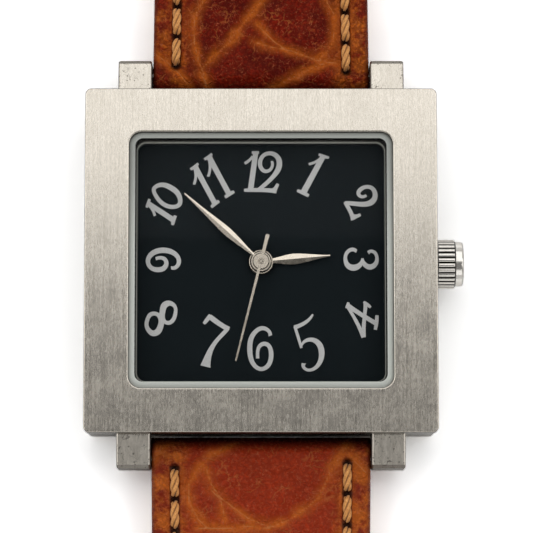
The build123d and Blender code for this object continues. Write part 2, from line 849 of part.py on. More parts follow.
# Each numeral's place on the dial, in shares of half the dial window, and its turn
numeral_place_shares = [
    (slab_one_shares, 0.413, 0.737, -27),
    (two_shares, 0.812, 0.505, -62),
    (three_shares, 0.812, 0.027, -90),
    (four_shares, 0.818, -0.469, 60),
    (five_shares, 0.372, -0.668, 25),
    (six_shares, 0.0, -0.727, 0),
    (seven_shares, -0.378, -0.66, -27),
    (eight_shares, -0.81, -0.461, -58),
    (nine_shares, -0.796, 0.01, 90),
    (ten_shares, -0.778, 0.505, 55),
    (eleven_shares, -0.39, 0.703, 28),
    (twelve_shares, 0.016, 0.745, 0),
]


def stroke_face(stroke):
    """Face of one pen stroke: its middle line widened to each side by half its width.
    A closed stroke runs clockwise, so that its left rim is the outer one."""
    closed = stroke[0] == stroke[-1]
    count = len(stroke)
    left = []
    right = []
    for index, (x, y, width) in enumerate(stroke):
        before = stroke[index - 1 if index else (-2 if closed else 0)]
        after = stroke[index + 1 if index < count - 1 else (1 if closed else count - 1)]
        run = hypot(after[0] - before[0], after[1] - before[1])
        across_x = (before[1] - after[1]) / run * width / 2
        across_y = (after[0] - before[0]) / run * width / 2
        left.append((numeral_cell * (x + across_x), numeral_cell * (y + across_y)))
        right.append((numeral_cell * (x - across_x), numeral_cell * (y - across_y)))
    with BuildSketch() as face:
        if closed:
            for rim in (left, right):
                with BuildLine():
                    Spline(*rim[:-1], periodic=True)
                make_face(mode=Mode.SUBTRACT if rim is right and face.faces() else Mode.ADD)
        else:
            with BuildLine():
                Spline(*left)
                Line(left[-1], right[-1])
                Spline(*reversed(right))
                Line(right[0], left[0])
            make_face()
    return face.sketch


with BuildPart() as dial_numerals:
    for strokes, x_share, y_share, turn in numeral_place_shares:
        cell = Location(
            (x_share * dial_window_width / 2, y_share * dial_window_length / 2, dial_top),
            (0, 0, turn),
        )
        with BuildSketch(Plane(cell)):
            for stroke in strokes:
                add(stroke_face(stroke))
        extrude(amount=numeral_height)
save(dial_numerals, "dial_numerals")

# Hands: faceted blades on flat hubs, each turned to the time on the dial


def hand_blade(frame, outline, height, width):
    """Blade along the frame's y axis with a ridge down its middle, added to the open part."""
    ridge_plane = Plane(frame.origin, x_dir=frame.x_dir, z_dir=-frame.y_dir)
    with BuildSketch(frame) as flat:
        with BuildLine():
            Spline(*outline)
            Line(outline[-1], (-outline[-1][0], outline[-1][1]))
            Spline(*[(-x, y) for x, y in reversed(outline)])
            Line((-outline[0][0], outline[0][1]), outline[0])
        make_face()
    with BuildSketch(ridge_plane) as roof:
        with BuildLine():
            Polyline(
                (-width, 0), (width, 0), (width / 2, height / 3), (0, height), (-width / 2, height / 3),
                close=True,
            )
        make_face()
    blade = extrude(flat.sketch, amount=height)
    ridge = extrude(roof.sketch, amount=outline[-1][1], both=True)
    return blade & ridge


def hand_frame(angle, lift):
    """Plane at a hand's underside whose y axis points along the hand."""
    return Plane(origin=(0, 0, dial_top + lift), x_dir=(cos(radians(angle)), -sin(radians(angle)), 0))


hour_frame = hand_frame(hour_angle, hour_hand_lift)
hour_outline = [(x * hour_hand_width, y * hour_hand_length) for x, y in hour_hand_shares]
hour_blade = hand_blade(hour_frame, hour_outline, hour_hand_height, hour_hand_width)
with BuildPart() as hour_hand:
    add(hour_blade)
    with BuildSketch(hour_frame):
        Circle(hour_hub_radius)
    extrude(amount=hour_hand_height, taper=hub_slope)
    with BuildSketch(hour_frame):
        Circle(hour_tube_radius)
    extrude(amount=hour_hand_height, mode=Mode.SUBTRACT)
save(hour_hand, "hour_hand")

minute_frame = hand_frame(minute_angle, minute_hand_lift)
minute_outline = [(x * minute_hand_width, y * minute_hand_length) for x, y in minute_hand_shares]
minute_blade = hand_blade(minute_frame, minute_outline, minute_hand_height, minute_hand_width)
with BuildPart() as minute_hand:
    add(minute_blade)
    with BuildSketch(minute_frame):
        Circle(minute_hub_radius)
    extrude(amount=minute_hand_height, taper=hub_slope)
    with BuildSketch(minute_frame):
        Circle(minute_tube_radius)
    extrude(amount=minute_hand_height, mode=Mode.SUBTRACT)
save(minute_hand, "minute_hand")

second_frame = hand_frame(second_angle, second_hand_lift)
with BuildPart() as second_hand:
    with BuildSketch(second_frame):
        with BuildLine():
            Polyline(
                (-second_hand_width / 2, 0),
                (-second_hand_width / 3, second_hand_length),
                (second_hand_width / 3, second_hand_length),
                (second_hand_width / 2, 0),
                (second_tail_width / 2, -second_tail_length),
                (-second_tail_width / 2, -second_tail_length),
                close=True,
            )
        make_face()
    extrude(amount=second_hand_height)
    with BuildSketch(second_frame):
        Circle(second_hub_radius)
    extrude(amount=second_hand_height, taper=hub_slope)
    with BuildSketch(second_frame.offset(second_hand_height)):
        Circle(second_cap_radius)
    extrude(amount=second_cap_height, taper=hub_slope)
    with BuildSketch(second_frame.offset(second_hand_height + second_cap_height)):
        Circle(second_dimple_radius)
    extrude(amount=-second_dimple_depth, taper=second_dimple_slope, mode=Mode.SUBTRACT)
    with BuildSketch(second_frame):
        Circle(pivot_radius)
    extrude(amount=second_hand_height, mode=Mode.SUBTRACT)
save(second_hand, "second_hand")

# Movement ring: plastic frame between the case bore and the round movement
with BuildPart() as movement_ring:
    with BuildSketch(Plane.XY.offset(boss_top)):
        RectangleRounded(dial_width, dial_length, dial_corner)
    extrude(amount=dial_bottom - boss_top)
    with BuildSketch(Plane.XY.offset(boss_top)):
        Circle(ring_ledge_radius)
    extrude(amount=dial_bottom - boss_top, mode=Mode.SUBTRACT)
    with BuildSketch(Plane.XY.offset(plate_bottom)):
        Circle(plate_radius + slip)
    extrude(amount=dial_bottom - plate_bottom, mode=Mode.SUBTRACT)
    with BuildSketch(across(0, 0, stem_height)):
        Circle(crown_post_radius + slip)
    extrude(amount=case_width / 2, mode=Mode.SUBTRACT)
save(movement_ring, "movement_ring")

# Main plate: carries the train below it, the motion work above it and the stem in it
lever_pivot_x = lever_groove_x + crown_travel / 2
yoke_pivot_x = pinion_groove_x - pinion_travel / 2
train_screws = [bridge_foot_a, bridge_foot_b]
coil_screws = [(-coil_half_span, coil_y), (coil_half_span, coil_y)]
plate_screws = train_screws + coil_screws + [(board_screw_x, board_screw_y), (clamp_screw_x, clamp_screw_y)]
with BuildPart() as main_plate:
    with BuildSketch(Plane.XY.offset(plate_bottom)):
        Circle(plate_radius)
    extrude(amount=plate_height + plate_rim_height)
    with BuildSketch(Plane.XY.offset(plate_floor)):
        Circle(plate_recess_radius)
    extrude(amount=plate_rim_height, mode=Mode.SUBTRACT)
    with BuildSketch(Plane.XY.offset(plate_floor)):
        with Locations((motion_distance, 0)):
            Circle(post_radius)
    extrude(amount=post_height)
    with BuildSketch(Plane.XY.offset(plate_floor)):
        with Locations((setting_x, 0)):
            Circle(post_radius)
    extrude(amount=motion_lift + motion_wheel_height)
    with BuildSketch(Plane.XY.offset(plate_floor)):
        with Locations((lever_pivot_x, lever_arm), (yoke_pivot_x, -lever_arm)):
            Circle(post_radius)
    extrude(amount=yoke_lift + yoke_height)
    with BuildSketch(Plane.XY.offset(clamp_top)):
        with Locations((clamp_screw_x, clamp_screw_y)):
            Circle(bridge_foot_radius)
    extrude(amount=plate_bottom - clamp_top)
    with BuildSketch(Plane.XY.offset(plate_bottom)):
        Circle(minute_tube_radius + slip)
        with Locations((foot_x, foot_y), (-foot_x, -foot_y)):
            Circle(dial_foot_radius + slip)
    extrude(amount=plate_height, mode=Mode.SUBTRACT)
    with BuildSketch(Plane.XY.offset(plate_bottom)):
        with Locations((third_x, third_y), (0, intermediate_y), (0, rotor_y)):
            Circle(pivot_radius + pivot_slip)
    extrude(amount=pivot_bite + slip, mode=Mode.SUBTRACT)
    with BuildSketch(Plane.XY.offset(plate_bottom)):
        with Locations((battery_x, battery_y)):
            Circle(battery_radius + slip)
    extrude(amount=battery_top + slip - plate_bottom, mode=Mode.SUBTRACT)
    with BuildSketch(Plane.XY.offset(clamp_top)):
        with Locations(*plate_screws):
            Circle(small_screw_radius)
    extrude(amount=plate_bottom + small_screw_bite - clamp_top, mode=Mode.SUBTRACT)
    with BuildSketch(Plane.XY.offset(stem_height - stem_channel)):
        with Locations(((channel_start + plate_radius + overrun) / 2, 0)):
            Rectangle(plate_radius + overrun - channel_start, 2 * stem_channel)
    extrude(amount=dial_bottom - stem_height + stem_channel, mode=Mode.SUBTRACT)
    with BuildSketch(Plane.XY.offset(plate_bottom)):
        with Locations(((pinion_pocket_start + pinion_pocket_end) / 2, 0)):
            Rectangle(pinion_pocket_end - pinion_pocket_start, 2 * pinion_pocket_half)
    extrude(amount=plate_height, mode=Mode.SUBTRACT)
save(main_plate, "main_plate")

# Train bridge: holds the lower pivots, on two pillars
with BuildPart() as train_bridge:
    with BuildSketch(Plane.XY.offset(bridge_bottom)):
        with Locations((third_x, third_y), (0, rotor_y), bridge_foot_a, bridge_foot_b):
            Circle(bridge_eye_radius)
        make_hull()
    extrude(amount=bridge_height)
    with BuildSketch(Plane.XY.offset(bridge_top)):
        with Locations(*train_screws):
            Circle(bridge_foot_radius)
    extrude(amount=train_space)
    with BuildSketch(Plane.XY.offset(bridge_bottom)):
        with Locations((0, 0), (third_x, third_y), (0, intermediate_y), (0, rotor_y)):
            Circle(pivot_radius + pivot_slip)
    extrude(amount=bridge_height, mode=Mode.SUBTRACT)
    with BuildSketch(Plane.XY.offset(bridge_bottom)):
        with Locations(*train_screws):
            Circle(small_screw_radius + snug)
    extrude(amount=bridge_height + train_space, mode=Mode.SUBTRACT)
save(train_bridge, "train_bridge")

# Battery and the clamp that holds and contacts it
with BuildPart() as battery:
    with BuildSketch(level(battery_x, battery_y, battery_top - battery_height)):
        Circle(battery_radius)
    extrude(amount=battery_height)
    chamfer(battery.faces().sort_by(Axis.Z)[-1].edges(), battery_edge)
    chamfer(battery.faces().sort_by(Axis.Z)[0].edges(), battery_edge)
save(battery, "battery")

clamp_run = hypot(battery_x - clamp_screw_x, battery_y - clamp_screw_y)
clamp_end_x = battery_x + (battery_x - clamp_screw_x) / clamp_run * clamp_reach
clamp_end_y = battery_y + (battery_y - clamp_screw_y) / clamp_run * clamp_reach
clamp_turn = degrees(atan2(clamp_end_y - clamp_screw_y, clamp_end_x - clamp_screw_x))
with BuildPart() as battery_clamp:
    with BuildSketch(Plane.XY.offset(clamp_top - clamp_height)):
        with Locations(((clamp_screw_x + clamp_end_x) / 2, (clamp_screw_y + clamp_end_y) / 2)):
            SlotCenterToCenter(clamp_run + clamp_reach, clamp_width, rotation=clamp_turn)
        with Locations((clamp_screw_x, clamp_screw_y)):
            Circle(small_screw_radius + snug, mode=Mode.SUBTRACT)
    extrude(amount=clamp_height)
save(battery_clamp, "battery_clamp")

# Step motor: stator plate, coil on its core, and the magnet rotor
with BuildPart() as stator:
    for side in (-1, 1):
        with BuildSketch(Plane.XY.offset(stator_bottom)):
            with Locations((side * coil_half_span, coil_y)):
                Circle(coil_ear_radius)
            with Locations((0, rotor_y)):
                Circle(stator_ring_radius)
            make_hull()
        extrude(amount=stator_height)
    with BuildSketch(Plane.XY.offset(stator_bottom)):
        with Locations((0, rotor_y)):
            Circle(stator_hole_radius)
        with Locations(*coil_screws):
            Circle(small_screw_radius + snug)
    extrude(amount=stator_height, mode=Mode.SUBTRACT)
save(stator, "stator")

with BuildPart() as coil_core:
    with BuildSketch(Plane.XY.offset(core_bottom)):
        with Locations((0, coil_y)):
            Rectangle(2 * coil_half_span, coil_core_width)
        with Locations(*coil_screws):
            Circle(coil_ear_radius)
            Circle(small_screw_radius + snug, mode=Mode.SUBTRACT)
    extrude(amount=coil_core_height)
save(coil_core, "coil_core")

with BuildPart() as coil_winding:
    with BuildSketch(across(-coil_length / 2, coil_y, core_bottom + coil_core_height / 2)):
        Circle(coil_radius)
        Rectangle(coil_core_width, coil_core_height, mode=Mode.SUBTRACT)
    extrude(amount=coil_length)
save(coil_winding, "coil_winding")

with BuildPart() as rotor:
    with BuildSketch(level(0, rotor_y, bridge_top + rotor_pinion_rise)):
        wheel_outline(rotor_teeth, rotor_module, mesh_phase(0, rotor_y, 0, intermediate_y, rotor_teeth, True))
    extrude(amount=rotor_pinion_height)
    with BuildSketch(level(0, rotor_y, bridge_top + magnet_rise)):
        Circle(magnet_radius)
    extrude(amount=magnet_height)
    with BuildSketch(level(0, rotor_y, bridge_bottom)):
        Circle(pivot_radius)
    extrude(amount=plate_bottom + pivot_bite - bridge_bottom)
save(rotor, "rotor")

# Going train: rotor, intermediate wheel, second wheel, third wheel, centre wheel
with BuildPart() as intermediate_wheel:
    with BuildSketch(level(0, intermediate_y, bridge_top + intermediate_pinion_rise)):
        wheel_outline(
            intermediate_pinion_teeth,
            intermediate_module,
            mesh_phase(0, intermediate_y, 0, 0, intermediate_pinion_teeth, True),
        )
    extrude(amount=intermediate_pinion_height)
    with BuildSketch(level(0, intermediate_y, bridge_top + intermediate_wheel_rise)):
        wheel_outline(
            intermediate_teeth,
            rotor_module,
            mesh_phase(0, intermediate_y, 0, rotor_y, intermediate_teeth, False),
        )
    extrude(amount=wheel_height)
    with BuildSketch(level(0, intermediate_y, bridge_top + intermediate_pinion_rise)):
        Circle(arbor_radius)
    extrude(amount=intermediate_wheel_rise - intermediate_pinion_rise + 2 * wheel_height)
    with BuildSketch(level(0, intermediate_y, bridge_bottom)):
        Circle(pivot_radius)
    extrude(amount=plate_bottom + pivot_bite - bridge_bottom)
save(intermediate_wheel, "intermediate_wheel")

second_hand_top = dial_top + second_hand_lift + second_hand_height
with BuildPart() as second_wheel:
    with BuildSketch(level(0, 0, bridge_top + second_wheel_rise)):
        wheel_outline(
            second_teeth, intermediate_module, mesh_phase(0, 0, 0, intermediate_y, second_teeth, False)
        )
    extrude(amount=wheel_height)
    with BuildSketch(level(0, 0, bridge_top + second_wheel_rise)):
        wheel_outline(
            second_pinion_teeth, fine_module, mesh_phase(0, 0, third_x, third_y, second_pinion_teeth, True)
        )
    extrude(amount=wheel_height + second_pinion_height)
    with BuildSketch(level(0, 0, bridge_bottom)):
        Circle(pivot_radius)
    extrude(amount=second_hand_top - bridge_bottom)
save(second_wheel, "second_wheel")

with BuildPart() as third_wheel:
    with BuildSketch(level(third_x, third_y, bridge_top + third_wheel_rise)):
        wheel_outline(third_teeth, fine_module, mesh_phase(third_x, third_y, 0, 0, third_teeth, False))
    extrude(amount=wheel_height)
    with BuildSketch(level(third_x, third_y, bridge_top + third_wheel_rise)):
        wheel_outline(
            third_pinion_teeth, centre_module, mesh_phase(third_x, third_y, 0, 0, third_pinion_teeth, True)
        )
    extrude(amount=wheel_height + third_pinion_height)
    with BuildSketch(level(third_x, third_y, bridge_bottom)):
        Circle(pivot_radius)
    extrude(amount=plate_bottom + pivot_bite - bridge_bottom)
save(third_wheel, "third_wheel")

minute_hand_top = dial_top + minute_hand_lift + minute_hand_height
with BuildPart() as centre_wheel:
    with BuildSketch(level(0, 0, bridge_top + centre_wheel_rise)):
        wheel_outline(centre_teeth, centre_module, mesh_phase(0, 0, third_x, third_y, centre_teeth, False))
    extrude(amount=wheel_height)
    with BuildSketch(level(0, 0, bridge_top + centre_wheel_rise)):
        Circle(minute_tube_radius)
    extrude(amount=minute_hand_top - bridge_top - centre_wheel_rise)
    with BuildSketch(level(0, 0, bridge_top + centre_wheel_rise)):
        Circle(pivot_radius + slip)
    extrude(amount=minute_hand_top - bridge_top - centre_wheel_rise, mode=Mode.SUBTRACT)
save(centre_wheel, "centre_wheel")

# Motion work: cannon pinion, minute wheel, hour wheel, and the setting wheel
with BuildPart() as cannon_pinion:
    with BuildSketch(level(0, 0, plate_floor + motion_lift)):
        wheel_outline(cannon_teeth, motion_module, mesh_phase(0, 0, motion_distance, 0, cannon_teeth, True))
        Circle(minute_tube_radius, mode=Mode.SUBTRACT)
    extrude(amount=cannon_height)
save(cannon_pinion, "cannon_pinion")

with BuildPart() as minute_wheel:
    with BuildSketch(level(motion_distance, 0, plate_floor + motion_lift)):
        wheel_outline(minute_teeth, motion_module, mesh_phase(motion_distance, 0, 0, 0, minute_teeth, False))
    extrude(amount=motion_wheel_height)
    with BuildSketch(level(motion_distance, 0, plate_floor + motion_lift)):
        wheel_outline(
            minute_pinion_teeth, hour_module, mesh_phase(motion_distance, 0, 0, 0, minute_pinion_teeth, True)
        )
    extrude(amount=post_height - motion_lift)
    with BuildSketch(level(motion_distance, 0, plate_floor)):
        Circle(post_radius + pivot_slip)
    extrude(amount=post_height, mode=Mode.SUBTRACT)
save(minute_wheel, "minute_wheel")

hour_hand_top = dial_top + hour_hand_lift + hour_hand_height
with BuildPart() as hour_wheel:
    with BuildSketch(level(0, 0, plate_floor + hour_wheel_lift)):
        wheel_outline(hour_teeth, hour_module, mesh_phase(0, 0, motion_distance, 0, hour_teeth, False))
    extrude(amount=motion_wheel_height)
    with BuildSketch(level(0, 0, plate_floor + hour_wheel_lift)):
        Circle(hour_tube_radius)
    extrude(amount=hour_hand_top - plate_floor - hour_wheel_lift)
    with BuildSketch(level(0, 0, plate_floor + hour_wheel_lift)):
        Circle(minute_tube_radius + slip)
    extrude(amount=hour_hand_top - plate_floor - hour_wheel_lift, mode=Mode.SUBTRACT)
save(hour_wheel, "hour_wheel")

with BuildPart() as setting_wheel:
    with BuildSketch(level(setting_x, 0, plate_floor + motion_lift)):
        wheel_outline(
            setting_teeth, motion_module, mesh_phase(setting_x, 0, motion_distance, 0, setting_teeth, True)
        )
        Circle(post_radius + pivot_slip, mode=Mode.SUBTRACT)
    extrude(amount=motion_wheel_height)
save(setting_wheel, "setting_wheel")

# Circuit board with its chip and quartz oscillator can
with BuildPart() as circuit_board:
    with BuildSketch(level(board_x, board_y, plate_bottom - board_height)):
        RectangleRounded(board_width, board_length, board_corner)
    extrude(amount=board_height)
    with BuildSketch(level(board_screw_x, board_screw_y, plate_bottom - board_height)):
        Circle(small_screw_radius + snug)
    extrude(amount=board_height, mode=Mode.SUBTRACT)
save(circuit_board, "circuit_board")

with BuildPart() as circuit_chip:
    with BuildSketch(level(chip_x, board_y, plate_bottom - board_height)):
        Rectangle(chip_size, chip_size)
    extrude(amount=-chip_height)
save(circuit_chip, "circuit_chip")

with BuildPart() as quartz_can:
    with BuildSketch(across(can_x - can_length / 2, can_y, plate_bottom - board_height - can_radius - snug)):
        Circle(can_radius)
    extrude(amount=can_length)
    chamfer(quartz_can.faces().sort_by(Axis.X)[0].edges(), edge_break)
save(quartz_can, "quartz_can")

# Movement screws, each with its head on what it holds
screw_seats = [(place, bridge_bottom) for place in train_screws]
screw_seats += [(place, core_bottom) for place in coil_screws]
screw_seats += [((board_screw_x, board_screw_y), plate_bottom - board_height)]
screw_seats += [((clamp_screw_x, clamp_screw_y), clamp_top - clamp_height)]
with BuildPart() as movement_screws:
    for (screw_x, screw_y), seat in screw_seats:
        with BuildSketch(level(screw_x, screw_y, seat)):
            Circle(small_head_radius)
        extrude(amount=-small_head_height)
        with BuildSketch(level(screw_x, screw_y, seat)):
            Circle(small_screw_radius - snug)
        extrude(amount=plate_bottom + small_screw_bite - snug - seat)
save(movement_screws, "movement_screws")

# Crown, its tube in the case, its gasket and the stem
crown_end = crown_start + crown_length
post_end = crown_start + crown_cavity_depth
tube_end = middle_width / 2 + crown_tube_reach
with BuildPart() as crown_blank:
    with BuildSketch(across(crown_start, 0, stem_height)):
        Circle(crown_radius + slip)
    extrude(amount=crown_length)
    chamfer(crown_blank.faces().sort_by(Axis.X)[-1].edges(), crown_edge)
with BuildPart() as crown:
    with BuildSketch(across(crown_start, 0, stem_height)):
        Circle(crown_root_radius)
        with PolarLocations(crown_radius - crown_rib_radius, crown_ribs):
            Circle(crown_rib_radius)
    extrude(amount=crown_length)
    add(crown_blank.part, mode=Mode.INTERSECT)
    with BuildSketch(across(crown_end, 0, stem_height)):
        Circle(crown_cap_radius)
    extrude(amount=crown_cap_height)
    fillet(crown.faces().sort_by(Axis.X)[-1].edges(), crown_cap_round)
    with BuildSketch(across(crown_start, 0, stem_height)):
        Circle(crown_cavity_radius)
    extrude(amount=crown_cavity_depth, mode=Mode.SUBTRACT)
    with BuildSketch(across(post_end, 0, stem_height)):
        Circle(crown_post_radius)
    extrude(amount=-crown_cavity_depth - crown_post_reach)
    with BuildSketch(across(crown_start - crown_post_reach, 0, stem_height)):
        Circle(stem_radius)
    extrude(amount=crown_post_reach + stem_grip, mode=Mode.SUBTRACT)
save(crown, "crown")

with BuildPart() as crown_tube:
    with BuildSketch(across(tube_end, 0, stem_height)):
        Circle(crown_tube_radius)
        Circle(crown_tube_bore, mode=Mode.SUBTRACT)
    extrude(amount=-crown_tube_reach - crown_tube_hold)
save(crown_tube, "crown_tube")

with BuildPart() as crown_gasket:
    with BuildSketch(across(crown_start + crown_gasket_set, 0, stem_height)):
        Circle(crown_tube_radius + snug + crown_gasket_width)
        Circle(crown_tube_radius + snug, mode=Mode.SUBTRACT)
    extrude(amount=crown_gasket_length)
save(crown_gasket, "crown_gasket")

groove_start = lever_groove_x - lever_groove_width / 2
groove_end = lever_groove_x + lever_groove_width / 2
with BuildPart() as stem:
    with BuildSketch(across(stem_inner_end, 0, stem_height)):
        Circle(stem_neck_radius)
    extrude(amount=groove_end + overrun - stem_inner_end)
    with BuildSketch(across(square_start, 0, stem_height)):
        Rectangle(stem_square, stem_square)
    extrude(amount=square_end - square_start)
    with BuildSketch(across(square_end, 0, stem_height)):
        Circle(stem_radius)
    extrude(amount=groove_start - square_end)
    with BuildSketch(across(groove_end, 0, stem_height)):
        Circle(stem_radius)
    extrude(amount=crown_start + stem_grip - groove_end)
save(stem, "stem")

with BuildPart() as sliding_pinion:
    with BuildSketch(across(pinion_start, 0, stem_height)):
        Circle(pinion_radius)
    extrude(amount=pinion_length)
    with BuildSketch(across(pinion_groove_x - pinion_groove_width / 2, 0, stem_height)):
        Circle(pinion_radius)
        Circle(pinion_groove_radius, mode=Mode.SUBTRACT)
    extrude(amount=pinion_groove_width, mode=Mode.SUBTRACT)
    with BuildSketch(across(pinion_start, 0, stem_height)):
        Rectangle(stem_square + 2 * snug, stem_square + 2 * snug)
    extrude(amount=pinion_length, mode=Mode.SUBTRACT)
save(sliding_pinion, "sliding_pinion")

# Setting lever and yoke: flat levers whose studs sit in the grooves of stem and pinion


def lever_piece(pivot_x, pivot_y, stud_x, stud_z, stud_radius, lift, height):
    """Lever from its post to the stem's line, with a stud down into the groove."""
    turn = degrees(atan2(-pivot_y, stud_x - pivot_x))
    run = hypot(pivot_y, stud_x - pivot_x)
    with BuildPart() as lever:
        with BuildSketch(level((pivot_x + stud_x) / 2, pivot_y / 2, plate_floor + lift)):
            SlotCenterToCenter(run, lever_width, rotation=turn)
        extrude(amount=height)
        with BuildSketch(level(stud_x, 0, stud_z)):
            Circle(stud_radius)
        extrude(amount=plate_floor + lift - stud_z)
        with BuildSketch(level(pivot_x, pivot_y, plate_floor + lift)):
            Circle(post_radius + pivot_slip)
        extrude(amount=height, mode=Mode.SUBTRACT)
    return lever


setting_lever = lever_piece(
    lever_pivot_x,
    lever_arm,
    lever_groove_x,
    stem_height + stem_neck_radius + stud_clear,
    lever_stud_radius,
    lever_lift,
    lever_height,
)
save(setting_lever, "setting_lever")

yoke = lever_piece(
    yoke_pivot_x,
    -lever_arm,
    pinion_groove_x,
    stem_height + pinion_groove_radius + stud_clear,
    yoke_stud_radius,
    yoke_lift,
    yoke_height,
)
save(yoke, "yoke")

# Spring bars: a tube between the lugs, two sliding tips and the spring between them
shank_end = bar_half - bar_lip - slip
shank_start = shank_end - bar_shank_length
tip_end = lug_inner + bar_tip_depth
for half_name, end in (("upper", 1), ("lower", -1)):
    with BuildPart() as spring_bar:
        with BuildSketch(across(0, end * bar_y, bar_height)):
            Circle(bar_radius)
            Circle(bar_tip_radius + slip, mode=Mode.SUBTRACT)
        extrude(amount=bar_half, both=True)
        with BuildSketch(across(0, end * bar_y, bar_height)):
            Circle(bar_bore_radius)
        extrude(amount=bar_half - bar_lip, both=True, mode=Mode.SUBTRACT)
    save(spring_bar, f"{half_name}_spring_bar")

    with BuildPart() as bar_spring:
        with BuildSketch(across(0, end * bar_y, bar_height)):
            Circle(bar_bore_radius - slip)
            Circle(bar_spring_hole, mode=Mode.SUBTRACT)
        extrude(amount=shank_start, both=True)
    save(bar_spring, f"{half_name}_bar_spring")

    for side_name, side in (("left", -1), ("right", 1)):
        with BuildPart() as bar_tip:
            with BuildSketch(across(side * shank_start, end * bar_y, bar_height)):
                Circle(bar_bore_radius - slip)
            extrude(amount=side * bar_shank_length)
            with BuildSketch(across(side * shank_end, end * bar_y, bar_height)):
                Circle(bar_tip_radius)
            extrude(amount=side * (tip_end - shank_end))
        save(bar_tip, f"{half_name}_bar_tip_{side_name}")

# Strap: two tapering halves, each a padded outer leather with a lining under it


def line_height(root_height, end_height, end_run, run):
    """Height of a straight strap face at a distance from the bar."""
    share = (run + strap_root_radius) / (end_run + strap_root_radius)
    return root_height + (end_height - root_height) * share


def half_width(end_run, run):
    """Half the strap's width at a distance from the bar."""
    return line_height(strap_width / 2, strap_end_width / 2, end_run, run)


def strap_blank(top_height, under_height, end_run, end, pointed):
    """Whole thickness of a strap half, shaped in side view and in plan, with soft edges."""
    root_y = end * (bar_y - strap_root_radius)
    end_y = end * (bar_y + end_run)
    shoulder_y = end * (bar_y + end_run - tip_length)
    with BuildPart() as blank:
        with BuildSketch(across(0, 0, 0)) as side_view:
            with BuildLine():
                Polyline(
                    (root_y, strap_root_top),
                    (end_y, top_height),
                    (end_y, under_height),
                    (root_y, strap_root_under),
                    close=True,
                )
            make_face()
            root_corners = [corner for corner in side_view.vertices() if abs(corner.X - root_y) < slip]
            fillet(root_corners, root_round_share * strap_root_radius)
            if not pointed:
                end_corners = [corner for corner in side_view.vertices() if abs(corner.X - end_y) < slip]
                fillet(end_corners, root_round_share * end_loop_radius)
        extrude(amount=strap_width / 2 + overrun, both=True)
        with BuildSketch() as plan:
            with BuildLine():
                if pointed:
                    Polyline(
                        (-strap_width / 2, root_y),
                        (strap_width / 2, root_y),
                        (strap_end_width / 2, shoulder_y),
                        (0, end_y),
                        (-strap_end_width / 2, shoulder_y),
                        close=True,
                    )
                else:
                    Polyline(
                        (-strap_width / 2, root_y),
                        (strap_width / 2, root_y),
                        (strap_end_width / 2, end_y),
                        (-strap_end_width / 2, end_y),
                        close=True,
                    )
            make_face()
            if pointed:
                fillet(plan.vertices().sort_by(Axis.Y)[0], tip_round)
                shoulders = [corner for corner in plan.vertices() if abs(corner.Y - shoulder_y) < slip]
                fillet(shoulders, tip_shoulder_round)
        extrude(amount=strap_root_top + overrun, mode=Mode.INTERSECT)
        long_edges = [
            edge
            for edge in blank.edges().filter_by(GeomType.LINE)
            if edge.length > tip_length * 2 and edge.center().Z > bar_height
        ]
        fillet(long_edges, strap_edge)
    return blank.part


def lining_strip(under_height, end_run, start, stop, end):
    """Full-width strip along the underside that parts the lining from the outer leather."""
    low = [line_height(strap_root_under, under_height, end_run, run) for run in (start, stop)]
    with BuildPart() as strip:
        with BuildSketch(across(0, 0, 0)):
            with BuildLine():
                Polyline(
                    (end * (bar_y + start), low[0] - overrun),
                    (end * (bar_y + start), low[0] + lining_height),
                    (end * (bar_y + stop), low[1] + lining_height),
                    (end * (bar_y + stop), low[1] - overrun),
                    close=True,
                )
            make_face()
        extrude(amount=strap_width / 2 + overrun, both=True)
    return strip.part


upper_end_run = upper_length + end_loop_radius
upper_blank = strap_blank(upper_top_height, upper_under_height, upper_end_run, 1, False)
lower_blank = strap_blank(lower_top_height, 0, lower_length, -1, True)
upper_strip = lining_strip(upper_under_height, upper_end_run, lining_start, upper_length - lining_stop, 1)
lower_strip = lining_strip(0, lower_length, lining_start, lower_length + overrun, -1)
hole_places = [(0, -bar_y - first_hole - index * hole_pitch) for index in range(hole_count)]

with BuildPart() as strap_upper:
    add(upper_blank)
    add(upper_strip, mode=Mode.SUBTRACT)
    with BuildSketch(across(0, bar_y, bar_height)):
        Circle(bar_radius + strap_bar_clearance)
        with Locations((upper_length, buckle_height - bar_height)):
            Circle(buckle_bar_radius + strap_bar_clearance)
    extrude(amount=strap_width / 2, both=True, mode=Mode.SUBTRACT)
    with BuildSketch(Plane.XY):
        with Locations((0, upper_end_y + end_loop_radius - tongue_slot_length / 2)):
            Rectangle(tongue_slot_width, tongue_slot_length)
    extrude(amount=strap_root_top, mode=Mode.SUBTRACT)
save(strap_upper, "strap_upper")

with BuildPart() as strap_upper_lining:
    add(upper_blank)
    add(upper_strip, mode=Mode.INTERSECT)
save(strap_upper_lining, "strap_upper_lining")

with BuildPart() as strap_lower:
    add(lower_blank)
    add(lower_strip, mode=Mode.SUBTRACT)
    with BuildSketch(across(0, -bar_y, bar_height)):
        Circle(bar_radius + strap_bar_clearance)
    extrude(amount=strap_width / 2, both=True, mode=Mode.SUBTRACT)
    with BuildSketch(Plane.XY):
        with Locations(*hole_places):
            Circle(hole_radius)
    extrude(amount=strap_root_top, mode=Mode.SUBTRACT)
save(strap_lower, "strap_lower")

with BuildPart() as strap_lower_lining:
    add(lower_blank)
    add(lower_strip, mode=Mode.INTERSECT)
    with BuildSketch(Plane.XY):
        with Locations(*hole_places):
            Circle(hole_radius)
    extrude(amount=strap_root_top, mode=Mode.SUBTRACT)
save(strap_lower_lining, "strap_lower_lining")

# Stitching: rows of thread stitches on the padded top face


